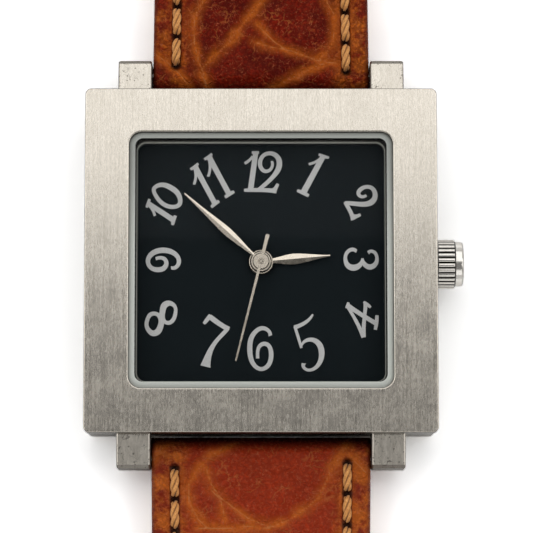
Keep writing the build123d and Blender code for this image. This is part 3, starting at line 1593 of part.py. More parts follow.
def stitch_rows(top_height, end_run, stop, end):
    """Both rows of stitches of a strap half, one solid for each stitch."""
    slope = (top_height - strap_root_top) / (end_run + strap_root_radius)
    narrowing = (strap_end_width - strap_width) / 2 / (end_run + strap_root_radius)
    first = strap_root_radius + stitch_start + stitch_length / 2
    count = int((end_run - stop - stitch_start) / stitch_pitch)
    with BuildPart() as rows:
        for side in (-1, 1):
            start = (
                side * (strap_width / 2 - stitch_inset),
                end * (bar_y - strap_root_radius),
                strap_root_top,
            )
            row_plane = Plane(
                start, x_dir=Vector(side * narrowing, end, slope), z_dir=Vector(0, -end * slope, 1)
            )
            with BuildSketch(row_plane):
                with Locations(*[(first + index * stitch_pitch, 0) for index in range(count)]):
                    SlotOverall(stitch_length, stitch_width)
            extrude(amount=stitch_height)
    return rows


upper_stitching = stitch_rows(upper_top_height, upper_end_run, upper_stitch_stop, 1)
save(upper_stitching, "upper_stitching")
lower_stitching = stitch_rows(lower_top_height, lower_length, lower_stitch_stop, -1)
save(lower_stitching, "lower_stitching")

# Keepers: leather loops round the upper strap, one sewn on and one free to slide
for keeper_name, place in (("fixed_keeper", fixed_keeper_place), ("free_keeper", free_keeper_place)):
    widest_run = place if keeper_name == "fixed_keeper" else place - free_keeper_travel
    inner_width = 2 * half_width(upper_end_run, widest_run - keeper_length / 2) + 2 * keeper_room_width
    with BuildPart() as keeper:
        middle_z = keeper_floor + keeper_leather + keeper_room_height / 2
        keeper_plane = Plane(origin=(0, bar_y + place, middle_z), x_dir=(1, 0, 0), z_dir=(0, -1, 0))
        with BuildSketch(keeper_plane):
            RectangleRounded(
                inner_width + 2 * keeper_leather, keeper_room_height + 2 * keeper_leather, keeper_corner
            )
            RectangleRounded(
                inner_width, keeper_room_height, keeper_corner - keeper_leather, mode=Mode.SUBTRACT
            )
        extrude(amount=keeper_length / 2, both=True)
    save(keeper, keeper_name)

# Buckle: bar through the strap's end, frame on the bar's tips, tongue round the bar
frame_inner = strap_end_width + 2 * frame_room
frame_outer = frame_inner + 2 * frame_arm
frame_dip = asin((buckle_height - frame_height / 2 - keeper_floor) / frame_length)
frame_along = Vector(0, cos(frame_dip), -sin(frame_dip))
frame_up = Vector(0, sin(frame_dip), cos(frame_dip))
frame_plane = Plane((0, upper_end_y, buckle_height), x_dir=(1, 0, 0), z_dir=frame_up)
frame_side = Plane((0, upper_end_y, buckle_height), x_dir=frame_along, z_dir=(1, 0, 0))
with BuildPart() as buckle_bar:
    with BuildSketch(across(0, upper_end_y, buckle_height)):
        Circle(buckle_bar_radius)
    extrude(amount=frame_inner / 2 - slip, both=True)
    with BuildSketch(across(0, upper_end_y, buckle_height)):
        Circle(buckle_tip_radius)
    extrude(amount=frame_inner / 2 + buckle_tip_depth, both=True)
save(buckle_bar, "buckle_bar")

with BuildPart() as buckle_frame:
    with BuildSketch(frame_plane):
        with Locations((0, (frame_length - frame_back) / 2)):
            RectangleRounded(frame_outer, frame_length + frame_back, frame_corner / 2)
        with Locations((0, (frame_length - frame_front - frame_back - overrun) / 2)):
            Rectangle(frame_inner, frame_length - frame_front + frame_back + overrun, mode=Mode.SUBTRACT)
    extrude(amount=frame_height / 2, both=True)
    rim_faces = buckle_frame.faces().filter_by(lambda face: abs(face.normal_at().dot(frame_up)) > 0.9)
    chamfer(rim_faces.edges(), frame_edge)
    for side in (-1, 1):
        with BuildSketch(across(side * frame_inner / 2, upper_end_y, buckle_height)):
            Circle(buckle_tip_radius + slip)
        extrude(amount=side * frame_hole_depth, mode=Mode.SUBTRACT)
save(buckle_frame, "buckle_frame")

tongue_seat = frame_height / 2 + tongue_rest
tongue_profile = [
    (0, tongue_root_radius),
    (frame_length - tongue_height, tongue_seat + tongue_height),
    (frame_length + tongue_overhang, tongue_seat + tongue_height / 2),
    (frame_length + tongue_overhang, tongue_seat),
    (frame_length - tongue_flat, tongue_seat),
    (tongue_root_radius, -tongue_root_radius / 3),
    (0, -tongue_root_radius / 2),
]
with BuildPart() as buckle_tongue:
    with BuildSketch(frame_side):
        with BuildLine():
            Polyline(*tongue_profile, close=True)
        make_face()
        Circle(tongue_root_radius)
        Circle(buckle_bar_radius + slip, mode=Mode.SUBTRACT)
    extrude(amount=tongue_width / 2, both=True)
save(buckle_tongue, "buckle_tongue")
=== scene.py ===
import random
from math import cos, hypot, pi, radians, sin, sqrt
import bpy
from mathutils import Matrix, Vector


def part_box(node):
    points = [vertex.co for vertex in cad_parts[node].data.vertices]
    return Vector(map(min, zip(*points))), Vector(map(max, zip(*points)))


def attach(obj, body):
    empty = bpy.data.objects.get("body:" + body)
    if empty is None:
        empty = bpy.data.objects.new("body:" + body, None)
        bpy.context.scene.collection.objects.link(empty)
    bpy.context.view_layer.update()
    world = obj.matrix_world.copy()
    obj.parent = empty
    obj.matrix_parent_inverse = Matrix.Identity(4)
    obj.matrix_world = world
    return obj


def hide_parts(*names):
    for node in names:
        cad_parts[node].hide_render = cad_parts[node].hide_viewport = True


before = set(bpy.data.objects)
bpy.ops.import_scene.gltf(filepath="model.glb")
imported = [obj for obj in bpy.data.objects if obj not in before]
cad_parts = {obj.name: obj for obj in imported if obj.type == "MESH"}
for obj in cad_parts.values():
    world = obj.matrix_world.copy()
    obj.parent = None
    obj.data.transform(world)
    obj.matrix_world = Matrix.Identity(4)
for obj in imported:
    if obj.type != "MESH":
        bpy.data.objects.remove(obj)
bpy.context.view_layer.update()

from types import SimpleNamespace

import bmesh
import bpy
import numpy as np
from mathutils import Vector

scene = bpy.context.scene
scene.view_settings.view_transform = "Standard"


# Studio: the watch lies on its back on a white table under large soft lamps.
# The strongest lamp hangs beyond twelve o'clock, so the brushed top of the case
# is bright there and falls off towards six.
def start_finish(name, colour, metal, roughness):
    """A new finish and its surface shader."""
    finish = bpy.data.materials.new(name)
    finish.use_nodes = True
    surface = finish.node_tree.nodes["Principled BSDF"]
    surface.inputs["Base Color"].default_value = (*colour, 1)
    surface.inputs["Metallic"].default_value = metal
    surface.inputs["Roughness"].default_value = roughness
    return finish, surface


def add_node(finish, kind, sockets=None, **choices):
    """A node of a finish, with values or links for its sockets."""
    node = finish.node_tree.nodes.new("ShaderNode" + kind)
    for choice, value in choices.items():
        setattr(node, choice, value)
    for socket, value in (sockets or {}).items():
        if isinstance(value, bpy.types.NodeSocket):
            finish.node_tree.links.new(value, node.inputs[socket])
        else:
            node.inputs[socket].default_value = value
    return node


def axes_of(finish, vector):
    """A vector's X, Y and Z."""
    return add_node(finish, "SeparateXYZ", {0: vector}).outputs


def spread(finish, value, start, stop, low=0.0, high=1.0):
    """A value's range spread smoothly between two others."""
    return add_node(
        finish,
        "MapRange",
        {"Value": value, "From Min": start, "From Max": stop, "To Min": low, "To Max": high},
        interpolation_type="SMOOTHSTEP",
    ).outputs["Result"]


table_half = 1.2
table_drop = 0.00002
bpy.ops.mesh.primitive_plane_add(size=2 * table_half, location=(0, 0, -table_drop))
table = bpy.context.object
table.name = "table"
table_white, table_surface = start_finish("table_white", (0.8, 0.8, 0.8), 0, 0.9)
table_surface.inputs["Specular IOR Level"].default_value = 0.0
table_rays = add_node(table_white, "LightPath").outputs
table_gains = {"Is Camera Ray": 1.27, "Is Transmission Ray": 1.27, "Is Glossy Ray": 0.45}
table_glow = 0.8
for ray, gain in table_gains.items():
    table_glow = add_node(
        table_white, "Math", {0: table_rays[ray], 1: gain, 2: table_glow}, operation="MULTIPLY_ADD"
    ).outputs[0]
table_white.node_tree.links.new(table_glow, table_surface.inputs["Base Color"])
table.data.materials.append(table_white)

# The room is dim, with pale walls that show near the horizon in the metal
room_dark = 0.07
wall_pale = 0.45
room = bpy.data.worlds.new("room")
room.use_nodes = True
room_light = room.node_tree.nodes["Background"]
room_light.inputs["Color"].default_value = (1.0, 1.0, 1.0, 1)
room_height = axes_of(room, add_node(room, "TexCoord").outputs["Generated"])["Z"]
on_wall = spread(room, room_height, 0.6, 0.25, 0.0, wall_pale)
room_glow = add_node(
    room,
    "Math",
    {0: add_node(room, "LightPath").outputs["Is Glossy Ray"], 1: on_wall, 2: room_dark},
    operation="MULTIPLY_ADD",
).outputs[0]
room.node_tree.links.new(room_glow, room_light.inputs["Strength"])
scene.world = room


def hang_lamp(name, place, aim, width, length, brightness):
    """A flat soft lamp at a place, facing a point, as bright per area as asked."""
    lamp = bpy.data.lights.new(name, "AREA")
    lamp.shape = "RECTANGLE"
    lamp.size = width
    lamp.size_y = length
    lamp.energy = brightness * pi * width * length
    holder = bpy.data.objects.new(name, lamp)
    scene.collection.objects.link(holder)
    holder.location = place
    holder.rotation_euler = (Vector(aim) - Vector(place)).to_track_quat("-Z", "Y").to_euler()


watch = (0, 0, 0)
below_watch = (0, -0.023, -0.197)
hang_lamp(
    "lamp_beyond_twelve", (0, 0.485, 0.665), below_watch, width=1.3, length=0.847, brightness=1.08
)
hang_lamp("lamp_left", (-0.68, 0.0, 0.45), watch, width=0.6, length=1.0, brightness=1.1)
hang_lamp("lamp_right", (0.68, 0.0, 0.45), watch, width=0.6, length=1.0, brightness=1.15)
hang_lamp("lamp_below_six", (0, -0.72, 0.60), watch, width=1.1, length=0.45, brightness=0.85)

# Camera: far off with a long lens, tipped a little towards six o'clock
bezel_top = 0.0082
camera_tilt = radians(7.3)
camera_distance = 0.3025
camera = bpy.data.objects.new("camera", bpy.data.cameras.new("camera"))
scene.collection.objects.link(camera)
camera.location = (
    0,
    -camera_distance * sin(camera_tilt),
    bezel_top + camera_distance * cos(camera_tilt),
)
camera.rotation_euler = (camera_tilt, 0, 0)
camera.data.sensor_width = 36
camera.data.lens = 204.3
camera.data.shift_x = 0.01032
camera.data.shift_y = -0.01407
camera.data.clip_end = 10
scene.camera = camera


# Case middle with its four lugs: one block of stainless steel, brushed along the
# watch with a fine belt. The lugs are worn, with pits and small scratches.
def millimetres(finish, stretch=(1, 1, 1), turn=(0, 0, 0)):
    """The piece's own coordinates in millimetres, stretched and turned for a texture."""
    place = add_node(finish, "TexCoord")
    return add_node(
        finish,
        "Mapping",
        {"Vector": place.outputs["Object"], "Scale": [1000 * s for s in stretch], "Rotation": turn},
    ).outputs["Vector"]


def rise_of(finish):
    """How far the surface faces up, from one on top through zero to minus one below."""
    return axes_of(finish, add_node(finish, "TexCoord").outputs["Normal"])["Z"]


def noise(finish, place, scale, detail=2.0, rough=0.5, warp=0.0):
    """Cloudy noise, from zero to one."""
    return add_node(
        finish,
        "TexNoise",
        {"Vector": place, "Scale": scale, "Detail": detail, "Roughness": rough, "Distortion": warp},
    ).outputs["Fac"]


def cells(finish, place, scale, feature):
    """Distance from the middle, or to the edge, of the nearest of many small cells."""
    return add_node(
        finish, "TexVoronoi", {"Vector": place, "Scale": scale}, feature=feature
    ).outputs["Distance"]


def work(finish, operation, first, second=0.0):
    """One step of arithmetic on two values."""
    return add_node(finish, "Math", {0: first, 1: second}, operation=operation).outputs[0]


def plus(finish, first, second):
    """Two values added."""
    return work(finish, "ADD", first, second)


def minus(finish, first, second):
    """One value less another."""
    return work(finish, "SUBTRACT", first, second)


def times(finish, first, second):
    """Two values multiplied."""
    return work(finish, "MULTIPLY", first, second)


def size_of(finish, value):
    """A value without its sign."""
    return work(finish, "ABSOLUTE", value)


def mix_tones(finish, share, first, second):
    """Two colours mixed by a share."""
    mixer = add_node(finish, "Mix", {0: share}, data_type="RGBA", blend_type="MIX")
    for socket, tone in ((6, first), (7, second)):
        if isinstance(tone, bpy.types.NodeSocket):
            finish.node_tree.links.new(tone, mixer.inputs[socket])
        else:
            mixer.inputs[socket].default_value = (*tone, 1)
    return mixer.outputs[2]


def relief(finish, height, depth, under=None):
    """Surface relief of a depth in metres, over another relief if given."""
    sockets = {"Height": height, "Strength": 1.0, "Distance": depth}
    if under is not None:
        sockets["Normal"] = under
    return add_node(finish, "Bump", sockets).outputs["Normal"]


def finish_with(finish, surface, **links):
    """Links values to the surface shader's sockets."""
    for socket, value in links.items():
        finish.node_tree.links.new(value, surface.inputs[socket.replace("_", " ")])


def dress(finish, *nodes):
    """Gives machined pieces their finish."""
    for name in nodes:
        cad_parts[name].data.materials.clear()
        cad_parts[name].data.materials.append(finish)


# Lengths along the watch in millimetres, and depths of relief in metres
case_end = 17.3
lugs_clear = 17.6
brush_depth = 0.0000026
pit_depth = 0.00002
pit_black = (0.14, 0.12, 0.10)
scratch_black = (0.16, 0.14, 0.12)


def brushed_steel(name, pale, dark, wear):
    """Steel brushed along y: fine lines, grit and clouds, and painted shade that darkens its sides.
    The lugs also have pits, mottling and small scratches, as strong as the wear."""
    finish, surface = start_finish(name, pale, 1, 0.25)
    place = millimetres(finish)
    reach = axes_of(finish, place)["Y"]
    on_lugs = spread(finish, size_of(finish, reach), case_end, lugs_clear)
    fine_lines = noise(finish, millimetres(finish, (11.0, 2.0, 11.0)), 1.0, 3, 0.7)
    broad_lines = noise(finish, millimetres(finish, (5.0, 0.14, 5.0)), 1.0, 2, 0.5)
    lines = plus(finish, times(finish, fine_lines, 0.65), times(finish, broad_lines, 0.35))
    clouds = noise(finish, place, 0.35, 4, 0.65)
    grit = noise(finish, millimetres(finish, (1.0, 0.6, 1.0)), 9.0, 2, 0.6)
    tone = mix_tones(finish, spread(finish, lines, 0.32, 0.68), dark, pale)
    tone = mix_tones(finish, spread(finish, clouds, 0.35, 0.75, 0, 0.3), tone, dark)
    tone = mix_tones(finish, spread(finish, grit, 0.5, 0.72, 0, 0.5), tone, dark)

    pit_sizes = noise(finish, place, 1.3, 2, 0.5)
    pit_reach = plus(finish, times(finish, on_lugs, 0.22), 0.09)
    from_pit = cells(finish, place, 1.9, "F1")
    in_pit = work(finish, "LESS_THAN", from_pit, times(finish, pit_sizes, pit_reach))
    tone = mix_tones(finish, times(finish, in_pit, wear), tone, pit_black)
    mottle = spread(finish, noise(finish, place, 2.6, 4, 0.65), 0.4, 0.65, 0, 0.2)
    tone = mix_tones(finish, times(finish, mottle, on_lugs), tone, dark)

    # Scratches wander where a warped noise crosses its middle value
    trail = noise(finish, place, 0.9, 2, 0.5, 0.6)
    on_trail = spread(finish, size_of(finish, minus(finish, trail, 0.5)), 0.012, 0.004)
    scratched = times(finish, on_trail, spread(finish, pit_sizes, 0.46, 0.56))
    scratched = times(finish, scratched, times(finish, on_lugs, wear))
    tone = mix_tones(finish, scratched, tone, scratch_black)

    # Painted shade: where the surface turns from facing up, its colour is darkened to about a
    # quarter
    painted_side_shade = spread(finish, size_of(finish, rise_of(finish)), 0.93, 0.6)
    side_shade_tone = mix_tones(finish, 0.27, (0.0, 0.0, 0.0), tone)
    tone = mix_tones(finish, painted_side_shade, tone, side_shade_tone)

    dulling = spread(finish, lines, 0.25, 0.75, 0.19, 0.28)
    dulling = plus(finish, dulling, spread(finish, clouds, 0.3, 0.8, 0, 0.06))
    dulling = plus(finish, dulling, spread(finish, reach, -case_end, -lugs_clear, 0, 0.07))
    normal = relief(finish, plus(finish, lines, times(finish, grit, 0.15)), brush_depth)
    normal = relief(finish, minus(finish, 1.0, in_pit), pit_depth, normal)
    surface.inputs["Anisotropic"].default_value = 0.9
    tangent = add_node(finish, "CombineXYZ", {"X": 1.0, "Y": 0.0, "Z": 1.0}).outputs[0]
    finish_with(
        finish, surface, Base_Color=tone, Roughness=dulling, Normal=normal, Tangent=tangent
    )
    return finish


steel_pale = (0.84, 0.78, 0.69)
steel_dark = (0.62, 0.57, 0.49)
case_steel = brushed_steel("case_steel", steel_pale, steel_dark, 0.7)
dress(case_steel, "case_middle")

# Case back: a satin steel plate with a raised boss, held by four slotted screws,
# with a black rubber gasket pressed in the groove round it.
back_steel = brushed_steel("back_steel", (0.68, 0.66, 0.63), (0.50, 0.49, 0.46), 0.2)
dress(back_steel, "case_back")


def turned_metal(name, colour, dark, roughness, metal=1.0, line_scale=14.0):
    """Smooth machined metal with faint turning marks and light handling wear."""
    finish, surface = start_finish(name, colour, metal, roughness)
    place = millimetres(finish)
    marks = noise(finish, place, line_scale, 2, 0.5)
    smears = noise(finish, place, 0.9, 3, 0.6)
    finish_with(
        finish,
        surface,
        Base_Color=mix_tones(finish, spread(finish, smears, 0.35, 0.75, 0, 0.35), colour, dark),
        Roughness=spread(finish, smears, 0.3, 0.75, 0.75 * roughness, 1.3 * roughness),
        Normal=relief(finish, marks, 0.0000015),
    )
    return finish


screw_steel = turned_metal("screw_steel", (0.58, 0.57, 0.56), (0.35, 0.34, 0.34), 0.22)
dress(screw_steel, "case_back_screws", "movement_screws")

gasket_rubber, gasket_surface = start_finish("gasket_rubber", (0.02, 0.02, 0.02), 0, 0.7)
gasket_dust = noise(gasket_rubber, millimetres(gasket_rubber), 6, 3, 0.6)
finish_with(
    gasket_rubber,
    gasket_surface,
    Base_Color=mix_tones(gasket_rubber, gasket_dust, (0.012, 0.012, 0.012), (0.04, 0.04, 0.04)),
    Normal=relief(gasket_rubber, gasket_dust, 0.00001),
)
dress(gasket_rubber, "case_back_gasket", "crystal_gasket", "crown_gasket")

# Bezel: a flat square steel frame, brushed like the case, pressed on with four pegs.
# The crystal is clear mineral glass with a frosted, ground bevel round its rim.
bezel_steel = brushed_steel("bezel_steel", steel_pale, steel_dark, 0.55)
dress(bezel_steel, "bezel")

# The crystal's flat, in millimetres: half its sides, and its corners' radius
flat_half_width = 12.63
flat_half_length = 12.28
flat_corner = 0.8
glass, ground_surface = start_finish("glass", (0.9, 0.94, 0.92), 0, 0.35)
glass_place = axes_of(glass, millimetres(glass))
past_sides = [
    work(glass, "MAXIMUM", minus(glass, size_of(glass, glass_place[axis]), half - flat_corner), 0.0)
    for axis, half in (("X", flat_half_width), ("Y", flat_half_length))
]
past_corner = add_node(glass, "CombineXYZ", {"X": past_sides[0], "Y": past_sides[1]}).outputs[0]
past_flat = add_node(glass, "VectorMath", {0: past_corner}, operation="LENGTH").outputs["Value"]
on_bevel = work(glass, "GREATER_THAN", past_flat, flat_corner)
grind = noise(glass, millimetres(glass), 9, 3, 0.6)
# The ground bevel's pale tone is partly its own frosted white and partly painted light standing in
# for light refracted through the glass; its darker tone towards twelve is painted shade
finish_with(
    glass,
    ground_surface,
    Base_Color=mix_tones(
        glass,
        spread(glass, glass_place["Y"], 0.0, 12.5),
        mix_tones(glass, grind, (0.70, 0.73, 0.67), (0.88, 0.91, 0.85)),
        mix_tones(glass, grind, (0.42, 0.44, 0.41), (0.54, 0.56, 0.52)),
    ),
)


def layer(share, first, second):
    """Two of the glass's surfaces, the second over the first by a share."""
    return add_node(glass, "MixShader", {0: share, 1: first, 2: second}).outputs[0]


clear = add_node(glass, "BsdfTransparent", {"Color": (0.985, 0.98, 0.97, 1)}).outputs[0]
shine = add_node(glass, "BsdfGlossy", {"Color": (1, 1, 1, 1), "Roughness": 0.02}).outputs[0]
window = layer(add_node(glass, "Fresnel", {"IOR": 1.09}).outputs[0], clear, shine)
ground = layer(0.9, clear, ground_surface.outputs[0])
glass_out = glass.node_tree.nodes["Material Output"]
glass.node_tree.links.new(layer(on_bevel, window, ground), glass_out.inputs["Surface"])
dress(glass, "crystal")

# Dial: a thin brass plate under satin blue-black lacquer. The ring round it slopes up to the
# crystal; it is
# # lacquered dark below, and a pale band along its top is a painted highlight. The numerals are
# raised and
# # silvered, with a fine hatching.
dial_lacquer, dial_surface = start_finish("dial_lacquer", (0.0065, 0.0105, 0.0122), 0, 0.5)
dial_speck = noise(dial_lacquer, millimetres(dial_lacquer), 12, 4, 0.7)
dial_cloud = noise(dial_lacquer, millimetres(dial_lacquer), 0.18, 2, 0.5)
dial_surface.inputs["Specular IOR Level"].default_value = 0.08
finish_with(
    dial_lacquer,
    dial_surface,
    Base_Color=mix_tones(
        dial_lacquer,
        times(dial_lacquer, plus(dial_lacquer, dial_speck, dial_cloud), 0.5),
        (0.0045, 0.0088, 0.0115),
        (0.0080, 0.0135, 0.0170),
    ),
    Normal=relief(dial_lacquer, dial_speck, 0.0000008),
)
dress(dial_lacquer, "dial")

# Painted highlight: the ring is pale along its top, above these heights
ring_highlight_full_above = 5.9
ring_highlight_gone_below = 5.75
ring_lacquer, ring_surface = start_finish("dial_ring_lacquer", (0.7, 0.72, 0.66), 0, 0.4)
ring_speck = noise(ring_lacquer, millimetres(ring_lacquer), 10, 3, 0.6)
ring_height = axes_of(ring_lacquer, millimetres(ring_lacquer))["Z"]
finish_with(
    ring_lacquer,
    ring_surface,
    Base_Color=mix_tones(
        ring_lacquer,
        spread(ring_lacquer, ring_height, ring_highlight_full_above, ring_highlight_gone_below),
        mix_tones(ring_lacquer, ring_speck, (0.66, 0.68, 0.62), (0.84, 0.86, 0.80)),
        (0.012, 0.016, 0.018),
    ),
    Normal=relief(ring_lacquer, ring_speck, 0.000002),
)
dress(ring_lacquer, "dial_ring")

hatch_turn = radians(38)
numeral_silver, numeral_surface = start_finish("numeral_silver", (0.7, 0.7, 0.68), 0, 0.42)
hatch_place = millimetres(numeral_silver, (1, 1, 1), (0, 0, hatch_turn))
hatch = add_node(
    numeral_silver,
    "TexWave",
    {"Vector": hatch_place, "Scale": 2.6, "Distortion": 0.6},
    wave_type="BANDS",
).outputs["Fac"]
numeral_speck = noise(numeral_silver, millimetres(numeral_silver), 7, 3, 0.6)
finish_with(
    numeral_silver,
    numeral_surface,
    Base_Color=mix_tones(
        numeral_silver,
        times(numeral_silver, plus(numeral_silver, hatch, numeral_speck), 0.5),
        (0.46, 0.475, 0.49),
        (0.84, 0.855, 0.87),
    ),
    Normal=relief(numeral_silver, hatch, 0.000006),
)
dress(numeral_silver, "dial_numerals")


# Hands: thin brass leaves with a ridge, polished and plated a warm silver, pressed on
# their tubes; the second hand is a plain needle with a round boss and a tail.
def shade_over(finish, share, dark):
    """Darkens a finish by a share where its form hides it from the light."""
    surface = finish.node_tree.nodes["Principled BSDF"]
    tone = surface.inputs["Base Color"].links[0].from_socket
    finish_with(finish, surface, Base_Color=mix_tones(finish, share, tone, dark))


hand_silver = turned_metal("hand_silver", (0.86, 0.79, 0.69), (0.70, 0.63, 0.54), 0.24)
# Painted shade: the hands' sloping flanks and hub tapers are darkened
painted_flank_shade = spread(hand_silver, rise_of(hand_silver), 0.92, 0.8, 0, 0.75)
shade_over(hand_silver, painted_flank_shade, (0.10, 0.09, 0.08))
dress(hand_silver, "hour_hand", "minute_hand", "second_hand")

# Movement: a nickelled main plate and bridge in a white plastic ring, gilt brass
# wheels, a steel battery under its clamp, and the step motor's iron and copper.
plate_brass = turned_metal("plate_brass", (0.70, 0.68, 0.60), (0.50, 0.47, 0.40), 0.32)
dress(plate_brass, "main_plate", "train_bridge")
gear_brass = turned_metal(
    "gear_brass", (0.80, 0.60, 0.28), (0.56, 0.38, 0.15), 0.28, line_scale=22.0
)
dress(
    gear_brass,
    "intermediate_wheel",
    "second_wheel",
    "third_wheel",
    "centre_wheel",
    "cannon_pinion",
    "minute_wheel",
    "hour_wheel",
    "setting_wheel",
)
battery_steel = turned_metal("battery_steel", (0.74, 0.74, 0.73), (0.55, 0.55, 0.54), 0.2)
dress(battery_steel, "battery", "quartz_can")
motor_iron = turned_metal("motor_iron", (0.45, 0.45, 0.46), (0.28, 0.28, 0.29), 0.4)
dress(motor_iron, "stator", "coil_core")
magnet_grey = turned_metal("magnet", (0.20, 0.20, 0.21), (0.10, 0.10, 0.11), 0.45)
dress(magnet_grey, "rotor")

coil_copper, coil_surface = start_finish("coil_copper", (0.62, 0.27, 0.12), 0.8, 0.35)
turns = add_node(
    coil_copper, "TexWave", {"Vector": millimetres(coil_copper), "Scale": 3.0, "Distortion": 0.3}
).outputs["Fac"]
finish_with(
    coil_copper,
    coil_surface,
    Base_Color=mix_tones(coil_copper, turns, (0.34, 0.12, 0.05), (0.74, 0.34, 0.16)),
    Normal=relief(coil_copper, turns, 0.00002),
)
dress(coil_copper, "coil_winding")


def moulded_plastic(name, colour, dark):
    """Matte moulded plastic with a faint spark texture."""
    finish, surface = start_finish(name, colour, 0, 0.55)
    sparks = noise(finish, millimetres(finish), 7, 4, 0.7)
    finish_with(
        finish,
        surface,
        Base_Color=mix_tones(finish, sparks, dark, colour),
        Normal=relief(finish, sparks, 0.000008),
    )
    return finish


ring_plastic = moulded_plastic("ring_plastic", (0.80, 0.79, 0.75), (0.70, 0.69, 0.65))
dress(ring_plastic, "movement_ring")
board_green = moulded_plastic("board_green", (0.03, 0.20, 0.09), (0.02, 0.13, 0.06))
dress(board_green, "circuit_board")
chip_black = moulded_plastic("chip_black", (0.025, 0.025, 0.027), (0.012, 0.012, 0.013))
dress(chip_black, "circuit_chip")

# Crown: polished steel with a fluted rim and a domed cap, pulled out to set the hands.
# Its stem, pinion and the two setting levers are small hardened steel pieces.
# Its lengths, in millimetres, are heights, distances from its axis and places along x.
crown_axis = 4.0
rib_tops = 2.475
flute_floors = 2.425
ribs_end = 19.66
lip_from = 20.22
lip_to = 20.36
crown_polish = turned_metal("polished_steel", (0.82, 0.80, 0.76), (0.66, 0.64, 0.60), 0.12)
dress(crown_polish, "crown_tube")
crown_steel = turned_metal("crown_steel", (1.0, 0.96, 0.89), (0.90, 0.86, 0.79), 0.18, 0.8)
crown_place = axes_of(crown_steel, millimetres(crown_steel))
crown_drop = minus(crown_steel, crown_place["Z"], crown_axis)
crown_across = add_node(crown_steel, "CombineXYZ", {"Y": crown_place["Y"], "Z": crown_drop})
crown_reach = add_node(
    crown_steel, "VectorMath", {0: crown_across.outputs[0]}, operation="LENGTH"
).outputs["Value"]
# Painted shade: the crown is darkened on its lip and deep in its flutes
crown_lip_shade = spread(crown_steel, crown_place["X"], lip_from, lip_to, 0, 0.75)
shade_over(crown_steel, crown_lip_shade, (0.30, 0.29, 0.27))
flute_shade = times(
    crown_steel,
    spread(crown_steel, crown_reach, rib_tops, flute_floors, 0, 0.96),
    work(crown_steel, "LESS_THAN", crown_place["X"], ribs_end),
)
shade_over(crown_steel, flute_shade, (0.02, 0.016, 0.012))
dress(crown_steel, "crown")
spring_steel = turned_metal("spring_steel", (0.50, 0.50, 0.51), (0.32, 0.32, 0.33), 0.3)
dress(spring_steel, "stem", "sliding_pinion", "setting_lever", "yoke", "battery_clamp")

# Spring bars: a steel tube through each strap end, with a sprung tip at both ends
# that snaps into a blind hole in the lug.
dress(
    crown_polish,
    "upper_spring_bar",
    "lower_spring_bar",
    "upper_bar_tip_left",
    "upper_bar_tip_right",
    "lower_bar_tip_left",
    "lower_bar_tip_right",
)
dress(spring_steel, "upper_bar_spring", "lower_bar_spring")

# Strap leather: thick glossy hide, stained reddish brown. Large puffed scales are parted
# by creases where the stain is rubbed to orange tan, and a fine crackle covers it all.
# The two halves taper from the lugs; each is folded round its spring bar.
bar_y = 0.0195
bar_z = 0.0026
root_radius = 0.0020
root_top = 0.0046
root_under = 0.0006
strap_half_root = 0.01105
strap_half_end = 0.0100
round_over = 0.0005
lining_from = 0.0032
lining_thick = 0.0008
glue_gap = 0.00002
stitch_row_inset = 0.00235
stitch_pitch = 0.00315
punch_radius = 0.00085

# A half's runs are lengths from its bar. Its creases near the case are points (x, run)
# in millimetres. Its rows of stitches each have a first run and a side.
upper = SimpleNamespace(
    way=1,
    end_run=0.0764,
    end_top=0.0044,
    end_under=0.0016,
    pointed=False,
    lined_to=0.0685,
    sewn_to=0.067,
    rows=((0.00095, -1), (0.00032, 1)),
    seed=5,
    creases=(
        ((-0.1, 7.4), (-0.9, 6.4), (-2.3, 4.6), (-3.3, 3.2), (-4.8, 1.9), (-5.7, 0.9), (-6.2, 0.2),
         (-5.5, -1.4)),
        ((1.4, 9.6), (-0.1, 7.4)),
        ((-5.4, 9.4), (-6.0, 7.4), (-6.7, 6.2), (-6.9, 4.6), (-6.8, 3.2), (-6.3, 1.1), (-5.8, 0.0),
         (-5.5, -1.5)),
        ((-11.2, 2.4), (-10.7, 2.0), (-9.5, 1.2), (-8.3, 0.0), (-7.3, -1.4)),
        ((6.2, 9.4), (6.8, 7.4), (7.5, 6.2), (7.5, 4.6), (7.3, 3.2), (6.6, 2.1), (6.0, 1.6)),
        ((-0.6, 3.3), (1.1, 2.8), (2.8, 2.5), (4.4, 1.9), (5.8, 1.4), (7.0, 1.2), (8.1, 1.1)),
        ((7.0, 1.2), (5.8, 0.9), (3.9, 0.0), (2.6, -0.7), (1.2, -1.4)),
        ((-0.3, 5.1), (1.2, 3.5), (2.8, 2.3)),
    ),
)
lower = SimpleNamespace(
    way=-1,
    end_run=0.1160,
    end_top=0.0021,
    end_under=0.0,
    pointed=True,
    lined_to=0.1160,
    sewn_to=0.103,
    rows=((0.00125, -1), (0.00070, 1)),
    seed=11,
    creases=(
        ((-5.5, 1.2), (-5.0, 2.8), (-4.1, 4.1), (-2.8, 5.1), (-1.3, 6.2), (0.4, 6.9), (1.2, 7.0)),
        ((1.2, 7.0), (2.9, 6.3), (4.4, 5.3), (5.8, 4.1), (6.6, 2.4), (7.0, 1.2), (8.0, 0.0),
         (8.8, -1.4)),
        ((-2.3, -1.5), (-3.6, -0.8), (-5.0, -0.1), (-5.8, 0.7), (-6.6, 1.7), (-7.3, 2.9),
         (-7.2, 4.6), (-6.3, 6.3), (-5.3, 7.2)),
        ((-5.0, 3.3), (-4.0, 4.5), (-3.6, 6.3)),
        ((-6.3, 7.2), (-3.3, 7.2), (-1.3, 7.0), (0.9, 7.2)),
        ((-11.0, 0.6), (-10.0, -0.8), (-9.2, -1.5)),
        ((9.0, 0.0), (10.5, 1.6)),
    ),
)

